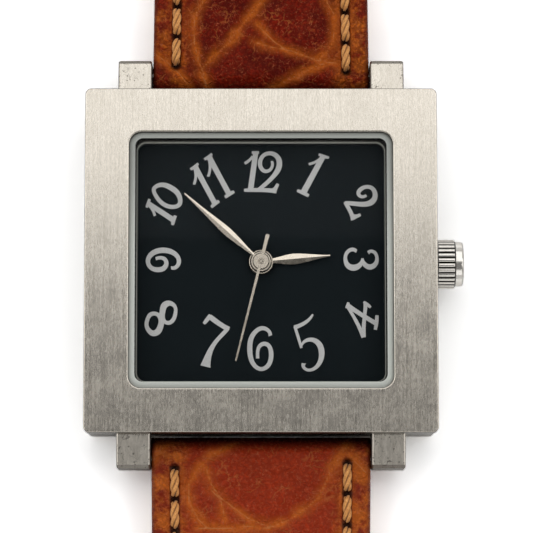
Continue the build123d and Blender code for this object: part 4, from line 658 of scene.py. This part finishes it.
# The lower half's point: straight slants, eased into its sides and rounded at the tip.
# Each length back is measured from where the slants would meet.
point_long = 0.0090
shoulder_radius = 0.0080
nose_radius = 0.0050
slant_long = hypot(point_long, strap_half_end)
nose_back = nose_radius * slant_long / strap_half_end
nose_from = nose_back - nose_radius * strap_half_end / slant_long
tip_back = nose_back - nose_radius
shoulder_inset = strap_half_end - shoulder_radius
shoulder_back = (
    point_long * (shoulder_inset + shoulder_radius * slant_long / point_long) / strap_half_end
)
slant_back = shoulder_back - shoulder_radius * strap_half_end / slant_long

# Scales beyond the drawn creases, in millimetres: three to a row, each row moved over.
# Each centre strays by chance, and the borders between scales bend a little.
scales_from = 13.5
scales_to = 125
scale_wide = 8.2
scale_long = 8.0
row_shift = 1.9
middle_lead = 2.6
stray_across = 1.6
stray_along = 1.5
stray_row = 0.8
border_bend = 0.14
far_off = 99.0


def crease_distance(x, run, creases, seed, first_run):
    """Distance in millimetres from surface points to the nearest crease. Past the drawn
    creases the scales are laid out round seeded centres."""
    nearest = np.full(x.shape, far_off)
    for crease in creases:
        for (x1, r1), (x2, r2) in zip(crease, crease[1:]):
            long = (x2 - x1) ** 2 + (r2 - r1) ** 2
            along = np.clip(((x - x1) * (x2 - x1) + (run - r1) * (r2 - r1)) / long, 0, 1)
            gap = np.hypot(x - x1 - along * (x2 - x1), run - r1 - along * (r2 - r1))
            nearest = np.minimum(nearest, gap)
    dice = random.Random(seed)
    centres = []
    row = first_run
    side = 1
    while row < scales_to:
        for column, lead in ((-1.0, 0), (0.05, middle_lead), (1.0, 0)):
            across = column * scale_wide + side * row_shift
            across += dice.uniform(-stray_across, stray_across)
            centres.append((across, row + lead + dice.uniform(-stray_along, stray_along)))
        row += scale_long + dice.uniform(-stray_row, stray_row)
        side = -side
    places = np.array(centres)
    squares = (x[:, None] - places[None, :, 0]) ** 2 + (run[:, None] - places[None, :, 1]) ** 2
    order = np.argsort(squares, axis=1)[:, :2]
    points = np.arange(len(x))
    first, second = order.T
    apart = np.hypot(*(places[first] - places[second]).T)
    border = (squares[points, second] - squares[points, first]) / (2 * apart)
    border = border + border_bend * (np.sin(1.1 * x + 0.7 * run) + 1)
    border = np.where(run > first_run - 3.5, np.abs(border), far_off)
    return np.minimum(nearest, border)


def side_edge(run, taper_end):
    """Half the strap's width where its sides taper evenly to an end."""
    share = (run + root_radius) / (taper_end + root_radius)
    return strap_half_root + (strap_half_end - strap_half_root) * share


def strap_edge(half, run):
    """Half the strap's width at a distance from the bar."""
    back = half.end_run - run
    if not half.pointed:
        return side_edge(run, half.end_run)
    if back > shoulder_back:
        return side_edge(run, half.end_run - point_long)
    if back > slant_back:
        return shoulder_inset + sqrt(max(shoulder_radius**2 - (shoulder_back - back) ** 2, 0))
    if back > nose_from:
        return back * strap_half_end / point_long
    return sqrt(max(nose_radius**2 - (nose_back - back) ** 2, 0))


def strap_heights(half, run):
    """Heights of the strap's top and underside at a distance from the bar."""
    share = (run + root_radius) / (half.end_run + root_radius)
    top = root_top + (half.end_top - root_top) * share
    under = root_under + (half.end_under - root_under) * share
    if run < 0:
        swell = sqrt(max(root_radius**2 - run**2, 0))
        top = min(top, bar_z + swell)
        under = max(under, bar_z - swell)
    fold = (half.end_top - half.end_under) / 2
    past = run - (half.end_run - fold)
    if past > 0 and not half.pointed:
        middle = (half.end_top + half.end_under) / 2
        swell = sqrt(max(fold**2 - past**2, 0))
        top = min(top, middle + swell)
        under = max(under, middle - swell)
    return top, under


def skin(count, around, start=0, closed=False):
    """Four-sided faces between rings of points, numbered from a start."""
    faces = []
    for ring in range(count if closed else count - 1):
        here = start + ring * around
        next_ring = start + (ring + 1) % count * around
        for k in range(around):
            ahead = (k + 1) % around
            faces.append((here + k, here + ahead, next_ring + ahead, next_ring + k))
    return faces


def smooth_piece(name, points, faces, finish, open_ends=False, **levels):
    """A piece of the scene, with values stored on its points and its faces turned out."""
    mesh = bpy.data.meshes.new(name)
    mesh.from_pydata(points, [], faces)
    for label, values in levels.items():
        stored = mesh.attributes.new(label, "FLOAT", "POINT")
        stored.data.foreach_set("value", np.array(values, dtype=np.float32))
    work_mesh = bmesh.new()
    work_mesh.from_mesh(mesh)
    if open_ends:
        rim_edges = [edge for edge in work_mesh.edges if edge.is_boundary]
        bmesh.ops.holes_fill(work_mesh, edges=rim_edges)
        bmesh.ops.remove_doubles(work_mesh, verts=work_mesh.verts, dist=0.000004)
    bmesh.ops.recalc_face_normals(work_mesh, faces=work_mesh.faces)
    work_mesh.to_mesh(mesh)
    work_mesh.free()
    mesh.shade_smooth()
    mesh.materials.append(finish)
    piece = bpy.data.objects.new(name, mesh)
    scene.collection.objects.link(piece)
    return piece


def cut_through(piece, cutters):
    """Cuts the cutters' shapes out of a piece and removes them."""
    for cutter in cutters:
        cut = piece.modifiers.new("cut", "BOOLEAN")
        cut.operation = "DIFFERENCE"
        cut.solver = "EXACT"
        cut.object = cutter
    bpy.context.view_layer.update()
    done = piece.evaluated_get(bpy.context.evaluated_depsgraph_get())
    fresh = bpy.data.meshes.new_from_object(done)
    piece.modifiers.clear()
    piece.data = fresh
    for cutter in cutters:
        bpy.data.objects.remove(cutter)


def punch(place, radius, along_x=False):
    """A round punch that goes down through the strap, or all the way across it."""
    bpy.ops.mesh.primitive_cylinder_add(
        vertices=48,
        radius=radius,
        depth=0.03 if along_x else 0.01,
        location=place,
        rotation=(0, pi / 2, 0) if along_x else (0, 0, 0),
    )
    return bpy.context.object


# Relief of the leather, in millimetres: how high, deep or wide each form is
puff_high = 0.16
puff_wide = 1.5
crease_wide = 0.22
row_deep = 0.14
row_wide = 0.55
margin_drop = 0.10
margin_wide = 0.6
crown_high = 0.10
crown_wide = 3.0
wave_high = 0.05
mean_lift = 0.06
hole_deep = 0.5
dip_wide = 0.34
hole_wide = 0.46
hole_reach = 1.5
unsewn_gap = 9.0

# In metres: where the relief starts and fades, and the least that keeps a ring open
groove_lead = 0.0003
groove_fade = 0.0004
end_fade = 0.0012
least = 0.00002


def leather_relief(half, tip, x, run, edge, rim):
    """How far each point of the leather's surface is lifted, in millimetres, and the values
    it stores: how near it is to a crease, the edge, a sewn row and a stitch hole."""
    gap = crease_distance(1000 * x, 1000 * run, half.creases, half.seed, scales_from)
    from_row = 1000 * (edge - stitch_row_inset - np.abs(x))
    sewn_from = np.where(x < 0, half.rows[0][0], half.rows[1][0]) - groove_lead
    is_sewn = (run > sewn_from) & (run < half.sewn_to)
    row_gap = np.where(is_sewn, np.abs(from_row), unsewn_gap)
    sewn = np.clip((run - sewn_from) / groove_fade + 0.5, 0, 1)
    sewn = sewn * np.clip((half.sewn_to - run) / groove_fade + 0.5, 0, 1)
    lift = puff_high * (1 - np.exp(-((gap / puff_wide) ** 2)) - np.exp(-((gap / crease_wide) ** 2)))
    lift -= row_deep * np.exp(-((from_row / row_wide) ** 2)) * sewn
    lift -= margin_drop * np.clip(-from_row / margin_wide, 0, 1)
    lift += crown_high * np.clip(from_row / crown_wide, 0, 1) ** 2
    waves_across = np.sin(1.3e3 * x + 0.5 * np.sin(900 * run))
    waves_along = np.sin(1.1e3 * run + 2.0 * np.sin(500 * x))
    lift += wave_high * waves_across * waves_along - mean_lift
    lift *= np.clip(1000 * (run + end_fade), 0, 1) * np.clip((tip - run) / end_fade, 0, 1)
    lift *= 1 - rim
    hole = np.zeros(len(x))
    for start, side in half.rows:
        row_x = side * (edge - stitch_row_inset)
        for end in start + stitch_pitch * np.arange(-0.04, (half.sewn_to - start) / stitch_pitch):
            reach = np.hypot(1000 * (x - row_x) / 1.15, 1000 * (run - end) / 0.95)
            near = reach < hole_reach
            lift[near] -= hole_deep * np.exp(-((reach[near] / dip_wide) ** 2))
            hole[near] = np.maximum(hole[near], np.exp(-((reach[near] / hole_wide) ** 4)))
    return lift, {"crease_gap": gap, "rim": rim, "row_gap": row_gap, "hole": hole}


def strap_leather_piece(name, half):
    """The outer leather of one strap half, as rings of points across it from end to end."""
    tip = half.end_run - tip_back if half.pointed else half.end_run
    nose_soft = 0.0022
    seen_to = 0.0106
    seen_step = 0.0002
    far_step = 0.0004
    runs = np.concatenate(
        [
            -root_radius * np.cos(np.linspace(0, pi / 2, 12))[:-1],
            np.arange(0.0, seen_to - seen_step / 2, seen_step),
            np.arange(seen_to, tip - nose_soft, far_step),
            tip - nose_soft * (1 - np.sin(np.linspace(0, pi / 2, 14))),
        ]
    )
    turn = np.linspace(0, pi / 2, 6)[1:]
    top_columns = 104
    under_columns = 20
    rings = []
    for run in runs:
        edge = max(strap_edge(half, run), least)
        top, under = strap_heights(half, run)
        if lining_from < run < half.lined_to:
            under = under + lining_thick + glue_gap
        soft = min(round_over, edge * 0.9, max((top - under) / 2.02, least / 2))
        inner = edge - soft
        ring = [(x, top) for x in np.linspace(-inner, inner, top_columns)]
        side = [(inner + soft * sin(a), top - soft + soft * cos(a)) for a in turn]
        side += [(inner + soft * cos(a), under + soft - soft * sin(a)) for a in turn]
        ring += side
        ring += [(x, under) for x in np.linspace(inner, -inner, under_columns)[1:-1]]
        ring += [(-x, z) for x, z in reversed(side)]
        rings.append(ring)
    shape = np.array(rings)
    count, around = shape.shape[:2]
    x, z = shape.reshape(-1, 2).T
    run = np.repeat(runs, around)
    edge = np.repeat([strap_edge(half, r) for r in runs], around)
    rim_across = np.ones(around)
    rim_across[:top_columns] = 0.0
    rim_across[[top_columns, -1]] = 0.5
    rim = np.tile(rim_across, count)

    lift, levels = leather_relief(half, tip, x, run, edge, rim)
    z = z + np.where(rim < 1, lift, 0) / 1000

    faces = skin(count, around)
    if half.way > 0:
        faces = [face[::-1] for face in faces]
    return smooth_piece(
        name,
        np.stack([x, half.way * (bar_y + run), z], axis=1).tolist(),
        faces,
        strap_leather,
        open_ends=True,
        **levels,
    )


oxblood = (0.120, 0.0045, 0.0022)
chestnut = (0.240, 0.0125, 0.0040)
rust = (0.30, 0.032, 0.008)
orange_brown = (0.50, 0.046, 0.009)
margin_brown = (0.24, 0.020, 0.007)
margin_tan = (0.64, 0.155, 0.016)
pebble_brown = (0.060, 0.003, 0.0015)
rubbed_tan = (0.62, 0.140, 0.014)
glint_tan = (0.52, 0.14, 0.06)
wrinkle_tan = (0.50, 0.14, 0.035)
crease_highlight_tan = (0.60, 0.22, 0.07)
sewn_tan = (0.44, 0.095, 0.013)
groove_shade_dark = (0.02, 0.005, 0.002)
rim_dark = (0.060, 0.008, 0.005)
shadow_dark = (0.010, 0.001, 0.0005)
hole_shade_dark = (0.003, 0.001, 0.001)


def crackled_leather(name):
    """Glossy hide: a mottled stain, rubbed paler along creases and rows of stitches, and darker at
    the edges.
    It has painted glints in fine strokes, a painted highlight along each crease, painted shade
    beside the rows and in the stitch holes, and a painted shadow near the case."""
    finish, surface = start_finish(name, (0.2, 0.03, 0.01), 0, 0.34)
    place = millimetres(finish)
    across, along = (axes_of(finish, place)[axis] for axis in ("X", "Y"))
    crease_gap, rim, row_gap, hole = (
        add_node(finish, "Attribute", attribute_name=label).outputs["Fac"]
        for label in ("crease_gap", "rim", "row_gap", "hole")
    )
    wander = noise(finish, place, 0.6, 4, 0.62)
    patches = noise(finish, place, 0.2, 3, 0.55)
    mottling = noise(finish, place, 2.4, 5, 0.7)
    sway = add_node(finish, "TexNoise", {"Vector": place, "Scale": 1.3, "Detail": 3.0})
    warped = add_node(
        finish, "VectorMath", {0: place, 1: sway.outputs["Color"]}, operation="ADD"
    ).outputs[0]

    stain = mix_tones(finish, spread(finish, patches, 0.38, 0.62), oxblood, chestnut)
    stain = mix_tones(finish, spread(finish, mottling, 0.42, 0.75, 0, 0.5), stain, rust)
    on_lower = spread(finish, along, -10.0, -19.0, 0, 0.6)
    stain = mix_tones(finish, on_lower, stain, orange_brown)
    on_margin = spread(finish, size_of(finish, across), 6.6, 8.6, 0, 0.85)
    margin = mix_tones(finish, spread(finish, wander, 0.4, 0.6), margin_brown, margin_tan)
    stain = mix_tones(finish, on_margin, stain, margin)
    pebbles = cells(finish, warped, 2.6, "F1")
    pebble_edge = times(
        finish,
        spread(finish, pebbles, 0.25, 0.6),
        spread(finish, along, -10.0, 10.0, 0.25, 0.45),
    )
    stain = mix_tones(finish, pebble_edge, stain, pebble_brown)

    roaming = times(finish, minus(finish, wander, 0.5), 1.7)
    roaming_gap = plus(finish, crease_gap, roaming)
    worn = plus(
        finish,
        spread(finish, roaming_gap, 1.1, 0.1, 0, 0.42),
        spread(finish, roaming_gap, 0.4, 0.05, 0, 0.36),
    )
    worn = times(finish, worn, spread(finish, mottling, 0.3, 0.6, 0.6, 1.1))
    hide = mix_tones(finish, worn, stain, rubbed_tan)
    hide = mix_tones(finish, times(finish, pebble_edge, 0.35), hide, pebble_brown)
    # Painted glints: fine pale strokes standing in for highlights on small wrinkles
    glint_lines = size_of(finish, minus(finish, noise(finish, place, 1.5, 3, 0.55, 0.9), 0.5))
    glint_patches = noise(finish, place, 2.4, 3, 0.65)
    painted_glints = times(
        finish,
        spread(finish, glint_lines, 0.02, 0.004),
        spread(finish, glint_patches, 0.42, 0.62, 0, 0.6),
    )
    hide = mix_tones(finish, painted_glints, hide, glint_tan)
    wrinkles = cells(finish, warped, 0.75, "DISTANCE_TO_EDGE")
    wrinkle_patches = noise(finish, place, 0.5, 3, 0.6)
    wrinkled = times(
        finish,
        spread(finish, wrinkles, 0.06, 0.0),
        spread(finish, wrinkle_patches, 0.5, 0.62, 0, 0.5),
    )
    hide = mix_tones(finish, wrinkled, hide, wrinkle_tan)
    # Painted highlight: a thin pale line along the middle of each crease
    hide = mix_tones(finish, spread(finish, crease_gap, 0.10, 0.0, 0, 0.7), hide, crease_highlight_tan)

    near_row = times(
        finish, spread(finish, row_gap, 1.5, 0.3, 0, 0.6), spread(finish, mottling, 0.3, 0.6)
    )
    hide = mix_tones(finish, near_row, hide, sewn_tan)
    # Painted shade in the groove beside each row of stitches
    groove_shade = spread(finish, row_gap, 0.62, 0.40, 0, 0.75)
    hide = mix_tones(finish, groove_shade, hide, groove_shade_dark)
    hide = mix_tones(finish, times(finish, rim, 0.5), hide, rim_dark)
    # Painted shadow of the case on the strap near it, stronger on the lower half
    painted_case_shadow = times(
        finish,
        spread(finish, size_of(finish, along), 19.2, 17.7),
        spread(finish, along, -10.0, 10.0, 0.9, 0.45),
    )
    hide = mix_tones(finish, painted_case_shadow, hide, shadow_dark)
    # Painted shade in the stitch holes
    hide = mix_tones(finish, times(finish, hole, 0.98), hide, hole_shade_dark)

    grain = noise(finish, place, 1.8, 4, 0.6)
    grain = plus(finish, grain, spread(finish, pebbles, 0.6, 0.0, 0, 0.3))
    grain = plus(finish, grain, spread(finish, wrinkles, 0.0, 0.1, 0, 0.25))
    surface.inputs["Specular Tint"].default_value = (1.0, 0.5, 0.36, 1)
    finish_with(
        finish,
        surface,
        Base_Color=hide,
        Roughness=spread(finish, mottling, 0.3, 0.8, 0.20, 0.34),
        Specular_IOR_Level=spread(finish, along, -10.0, 10.0, 0.28, 0.12),
        Normal=relief(finish, grain, 0.00016),
    )
    return finish


strap_leather = crackled_leather("strap_leather")

# The upper half is slotted for the buckle's tongue, where it folds round the buckle bar
buckle_bar_run = 0.0750
upper_middle = 0.0030
slot_radius = 0.00135
slot_stretch = 1.45
slot_back = 0.0017
upper_leather = strap_leather_piece("upper_leather", upper)
slot_punch = punch((0, bar_y + upper.end_run - slot_back, upper_middle), slot_radius)
slot_punch.scale = (1.0, slot_stretch, 1.0)
cut_through(
    upper_leather,
    [
        punch((0, bar_y, bar_z), punch_radius, along_x=True),
        punch((0, bar_y + buckle_bar_run, upper_middle), punch_radius, along_x=True),
        slot_punch,
    ],
)
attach(upper_leather, "upper_strap")
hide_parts("strap_upper")

# The lower half has seven round holes for the tongue
first_hole_run = 0.056
hole_pitch = 0.0065
hole_count = 7
hole_radius = 0.001
hole_middle = 0.002


def hole_punches():
    """A punch for each of the tongue's holes."""
    runs = [first_hole_run + hole_pitch * index for index in range(hole_count)]
    return [punch((0, -(bar_y + run), hole_middle), hole_radius) for run in runs]


lower_leather = strap_leather_piece("lower_leather", lower)
bar_punch = [punch((0, -bar_y, bar_z), punch_radius, along_x=True)]
cut_through(lower_leather, hole_punches() + bar_punch)
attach(lower_leather, "lower_strap")
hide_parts("strap_lower")

# Lining: smooth undyed calf, glued under each strap half and cut flush with its edges.
# Its lower edge is rounded, and the tongue's holes go through it too.
lining_leather, lining_surface = start_finish("lining_leather", (0.45, 0.25, 0.13), 0, 0.55)
lining_pores = noise(lining_leather, millimetres(lining_leather), 6, 4, 0.7)
lining_stains = noise(lining_leather, millimetres(lining_leather), 0.15, 4, 0.6)
lining_tone = mix_tones(lining_leather, lining_stains, (0.34, 0.17, 0.08), (0.52, 0.31, 0.17))
in_pore = spread(lining_leather, lining_pores, 0.6, 0.4, 0, 0.3)
finish_with(
    lining_leather,
    lining_surface,
    Base_Color=mix_tones(lining_leather, in_pore, lining_tone, (0.28, 0.14, 0.07)),
    Normal=relief(lining_leather, lining_pores, 0.00002),
)


def lining_piece(name, half):
    """The lining of one strap half: a thin sheet with a rounded lower edge."""
    tip = half.end_run - tip_back if half.pointed else half.lined_to
    nose_soft = 0.002
    ring_step = 0.001
    lower_round = 0.0004
    unevenness = 0.00003
    nose = tip - nose_soft * (1 - np.sin(np.linspace(0, pi / 2, 10)))
    runs = np.concatenate([np.arange(lining_from, tip - nose_soft, ring_step), nose])
    turn = np.linspace(0.3, pi / 2, 5)
    points = []
    for run in runs:
        edge = max(strap_edge(half, run), 1.5 * least)
        under = strap_heights(half, run)[1]
        soft = min(lower_round, 0.9 * edge)
        inner = edge - soft
        ring = [
            (x, under + unevenness * sin(1400 * x) * sin(900 * run))
            for x in np.linspace(-inner, inner, 24)
        ]
        corner = [(inner + soft * sin(a), under + soft - soft * cos(a)) for a in turn]
        ring += corner
        ring += [(edge, under + lining_thick), (-edge, under + lining_thick)]
        ring += [(-x, z) for x, z in reversed(corner)]
        points += [(x, half.way * (bar_y + run), max(z, least / 2)) for x, z in ring]
    around = len(ring)
    first_end = tuple(range(around))
    last_end = tuple(range(len(points) - around, len(points)))
    faces = skin(len(runs), around) + [first_end, last_end]
    return smooth_piece(name, points, faces, lining_leather)


upper_lining = lining_piece("upper_lining", upper)
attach(upper_lining, "upper_strap")
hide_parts("strap_upper_lining")
lower_lining = lining_piece("lower_lining", lower)
cut_through(lower_lining, hole_punches())
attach(lower_lining, "lower_strap")
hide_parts("strap_lower_lining")

# Stitching: thick three-strand waxed thread, sewn by hand. Each stitch lies on the
# leather and dips into its holes at both ends.
stitch_long = 0.00284
stitch_rise = 0.00012
stitch_dip = 0.00085
strand_count = 3
strand_radius = 0.00022
strand_offset = 0.00023
strand_turn = 0.0036
strand_flatten = 0.8
end_pinch = 0.35
turn_between = 0.9
thread_finish, thread_surface = start_finish("thread", (0.6, 0.24, 0.06), 0, 0.6)
fibres = noise(thread_finish, millimetres(thread_finish, (14, 5, 14)), 1.0, 3, 0.6)
on_fibre = spread(thread_finish, fibres, 0.3, 0.7)
valley = add_node(thread_finish, "Attribute", attribute_name="valley").outputs["Fac"]
# Painted shade in the valleys between the strands
valley_shade = spread(thread_finish, valley, 0.3, 1.0, 0, 0.9)
fibre_tone = mix_tones(thread_finish, on_fibre, (0.66, 0.24, 0.045), (1.0, 0.50, 0.15))
thread_surface.inputs["Sheen Weight"].default_value = 0.2
finish_with(
    thread_finish,
    thread_surface,
    Base_Color=mix_tones(thread_finish, valley_shade, fibre_tone, (0.10, 0.025, 0.006)),
    Normal=relief(thread_finish, fibres, 0.00002),
)


def stitches_piece(name, half):
    """Both rows of stitches of one strap half, as twisted strands. Each point stores how
    deep it is in the valley between two strands."""
    points = []
    valleys = []
    faces = []
    steps = 18
    sides = 8
    for first_run, side in half.rows:
        for index in range(int((half.sewn_to - first_run) / stitch_pitch)):
            for strand in range(strand_count):
                base = len(points)
                for step in range(steps + 1):
                    share = step / steps
                    from_middle = abs(2 * share - 1)
                    run = first_run + index * stitch_pitch + share * stitch_long
                    twist = half.way * share * stitch_long / strand_turn
                    spin = 2 * pi * (strand / strand_count - twist) + turn_between * index
                    x = side * (side_edge(run, half.end_run) - stitch_row_inset)
                    x += strand_offset * cos(spin)
                    z = strap_heights(half, run)[0] + stitch_rise - stitch_dip * from_middle**5
                    z += strand_offset * strand_flatten * sin(spin)
                    radius = strand_radius * (1 - end_pinch * from_middle**4)
                    for k in range(sides):
                        a = 2 * pi * k / sides
                        valleys.append(0.5 - 0.5 * cos(a - spin))
                        points.append(
                            (x + radius * cos(a), half.way * (bar_y + run), z + radius * sin(a))
                        )
                faces += skin(steps + 1, sides, base)
                faces.append(tuple(range(base, base + sides)))
                faces.append(tuple(range(base + steps * sides, base + (steps + 1) * sides)))
    return smooth_piece(name, points, faces, thread_finish, valley=valleys)


upper_thread = stitches_piece("upper_thread", upper)
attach(upper_thread, "upper_strap")
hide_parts("upper_stitching")
lower_thread = stitches_piece("lower_thread", lower)
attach(lower_thread, "lower_strap")
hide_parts("lower_stitching")


# Keepers: two loops of the strap's leather that hold down the strap's tip. One is sewn
# to the upper half, and the other slides along it.
def keeper_piece(name, node):
    """A leather loop that fits its plain solid, rounded at its corners and outer edges."""
    low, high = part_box(node)
    middle = (low + high) / 2
    half, wide, tall = ((high[axis] - low[axis]) / 2 - least for axis in range(3))
    thick = 0.00105
    corner = 0.0014
    soft = 0.00035
    rim_wide = 0.0004

    # The loop's way round, with the direction that faces out at each point of it
    centres = np.array([(1, 1), (-1, 1), (-1, -1), (1, -1)]) * (half - corner, tall - corner)
    path = []
    for quarter, steps in enumerate((40, 10, 40, 10)):
        here, ahead = centres[quarter], centres[(quarter + 1) % 4]
        for step in range(7):
            turn = pi / 2 * (quarter + step / 6)
            path.append((*here, cos(turn), sin(turn)))
        for step in range(1, steps):
            path.append((*(here + (ahead - here) * step / steps), cos(turn), sin(turn)))

    rounding = [pi / 2 * step / 5 for step in range(6)]
    section = [(wide - soft + soft * cos(a), corner - soft + soft * sin(a)) for a in rounding]
    section += [((wide - soft) * (1 - 2 * step / 12), corner) for step in range(1, 12)]
    section += [(-wide + soft - soft * sin(a), corner - soft + soft * cos(a)) for a in rounding]
    section += [(-wide, corner - thick), (wide, corner - thick)]
    points = [
        (middle.x + x + out_x * reach, middle.y + y, middle.z + z + out_z * reach)
        for x, z, out_x, out_z in path
        for y, reach in section
    ]
    x, y, z = np.array(points).T
    piece = smooth_piece(
        name,
        points,
        skin(len(path), len(section), closed=True),
        strap_leather,
        crease_gap=crease_distance(1000 * x + 3, 1000 * y - 60, [], seed=3, first_run=2.0),
        rim=np.clip((np.abs(y - middle.y) - wide + rim_wide) / rim_wide, 0, 1),
        row_gap=np.full(len(points), unsewn_gap),
        hole=np.zeros(len(points)),
    )
    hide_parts(node)
    return piece


fixed_loop = keeper_piece("fixed_loop", "fixed_keeper")
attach(fixed_loop, "upper_strap")
free_loop = keeper_piece("free_loop", "free_keeper")
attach(free_loop, "sliding_keeper")

# Buckle: a cast and polished steel frame with its tongue, both turning on the bar
# through the strap's end.
dress(crown_polish, "buckle_frame", "buckle_tongue", "buckle_bar")
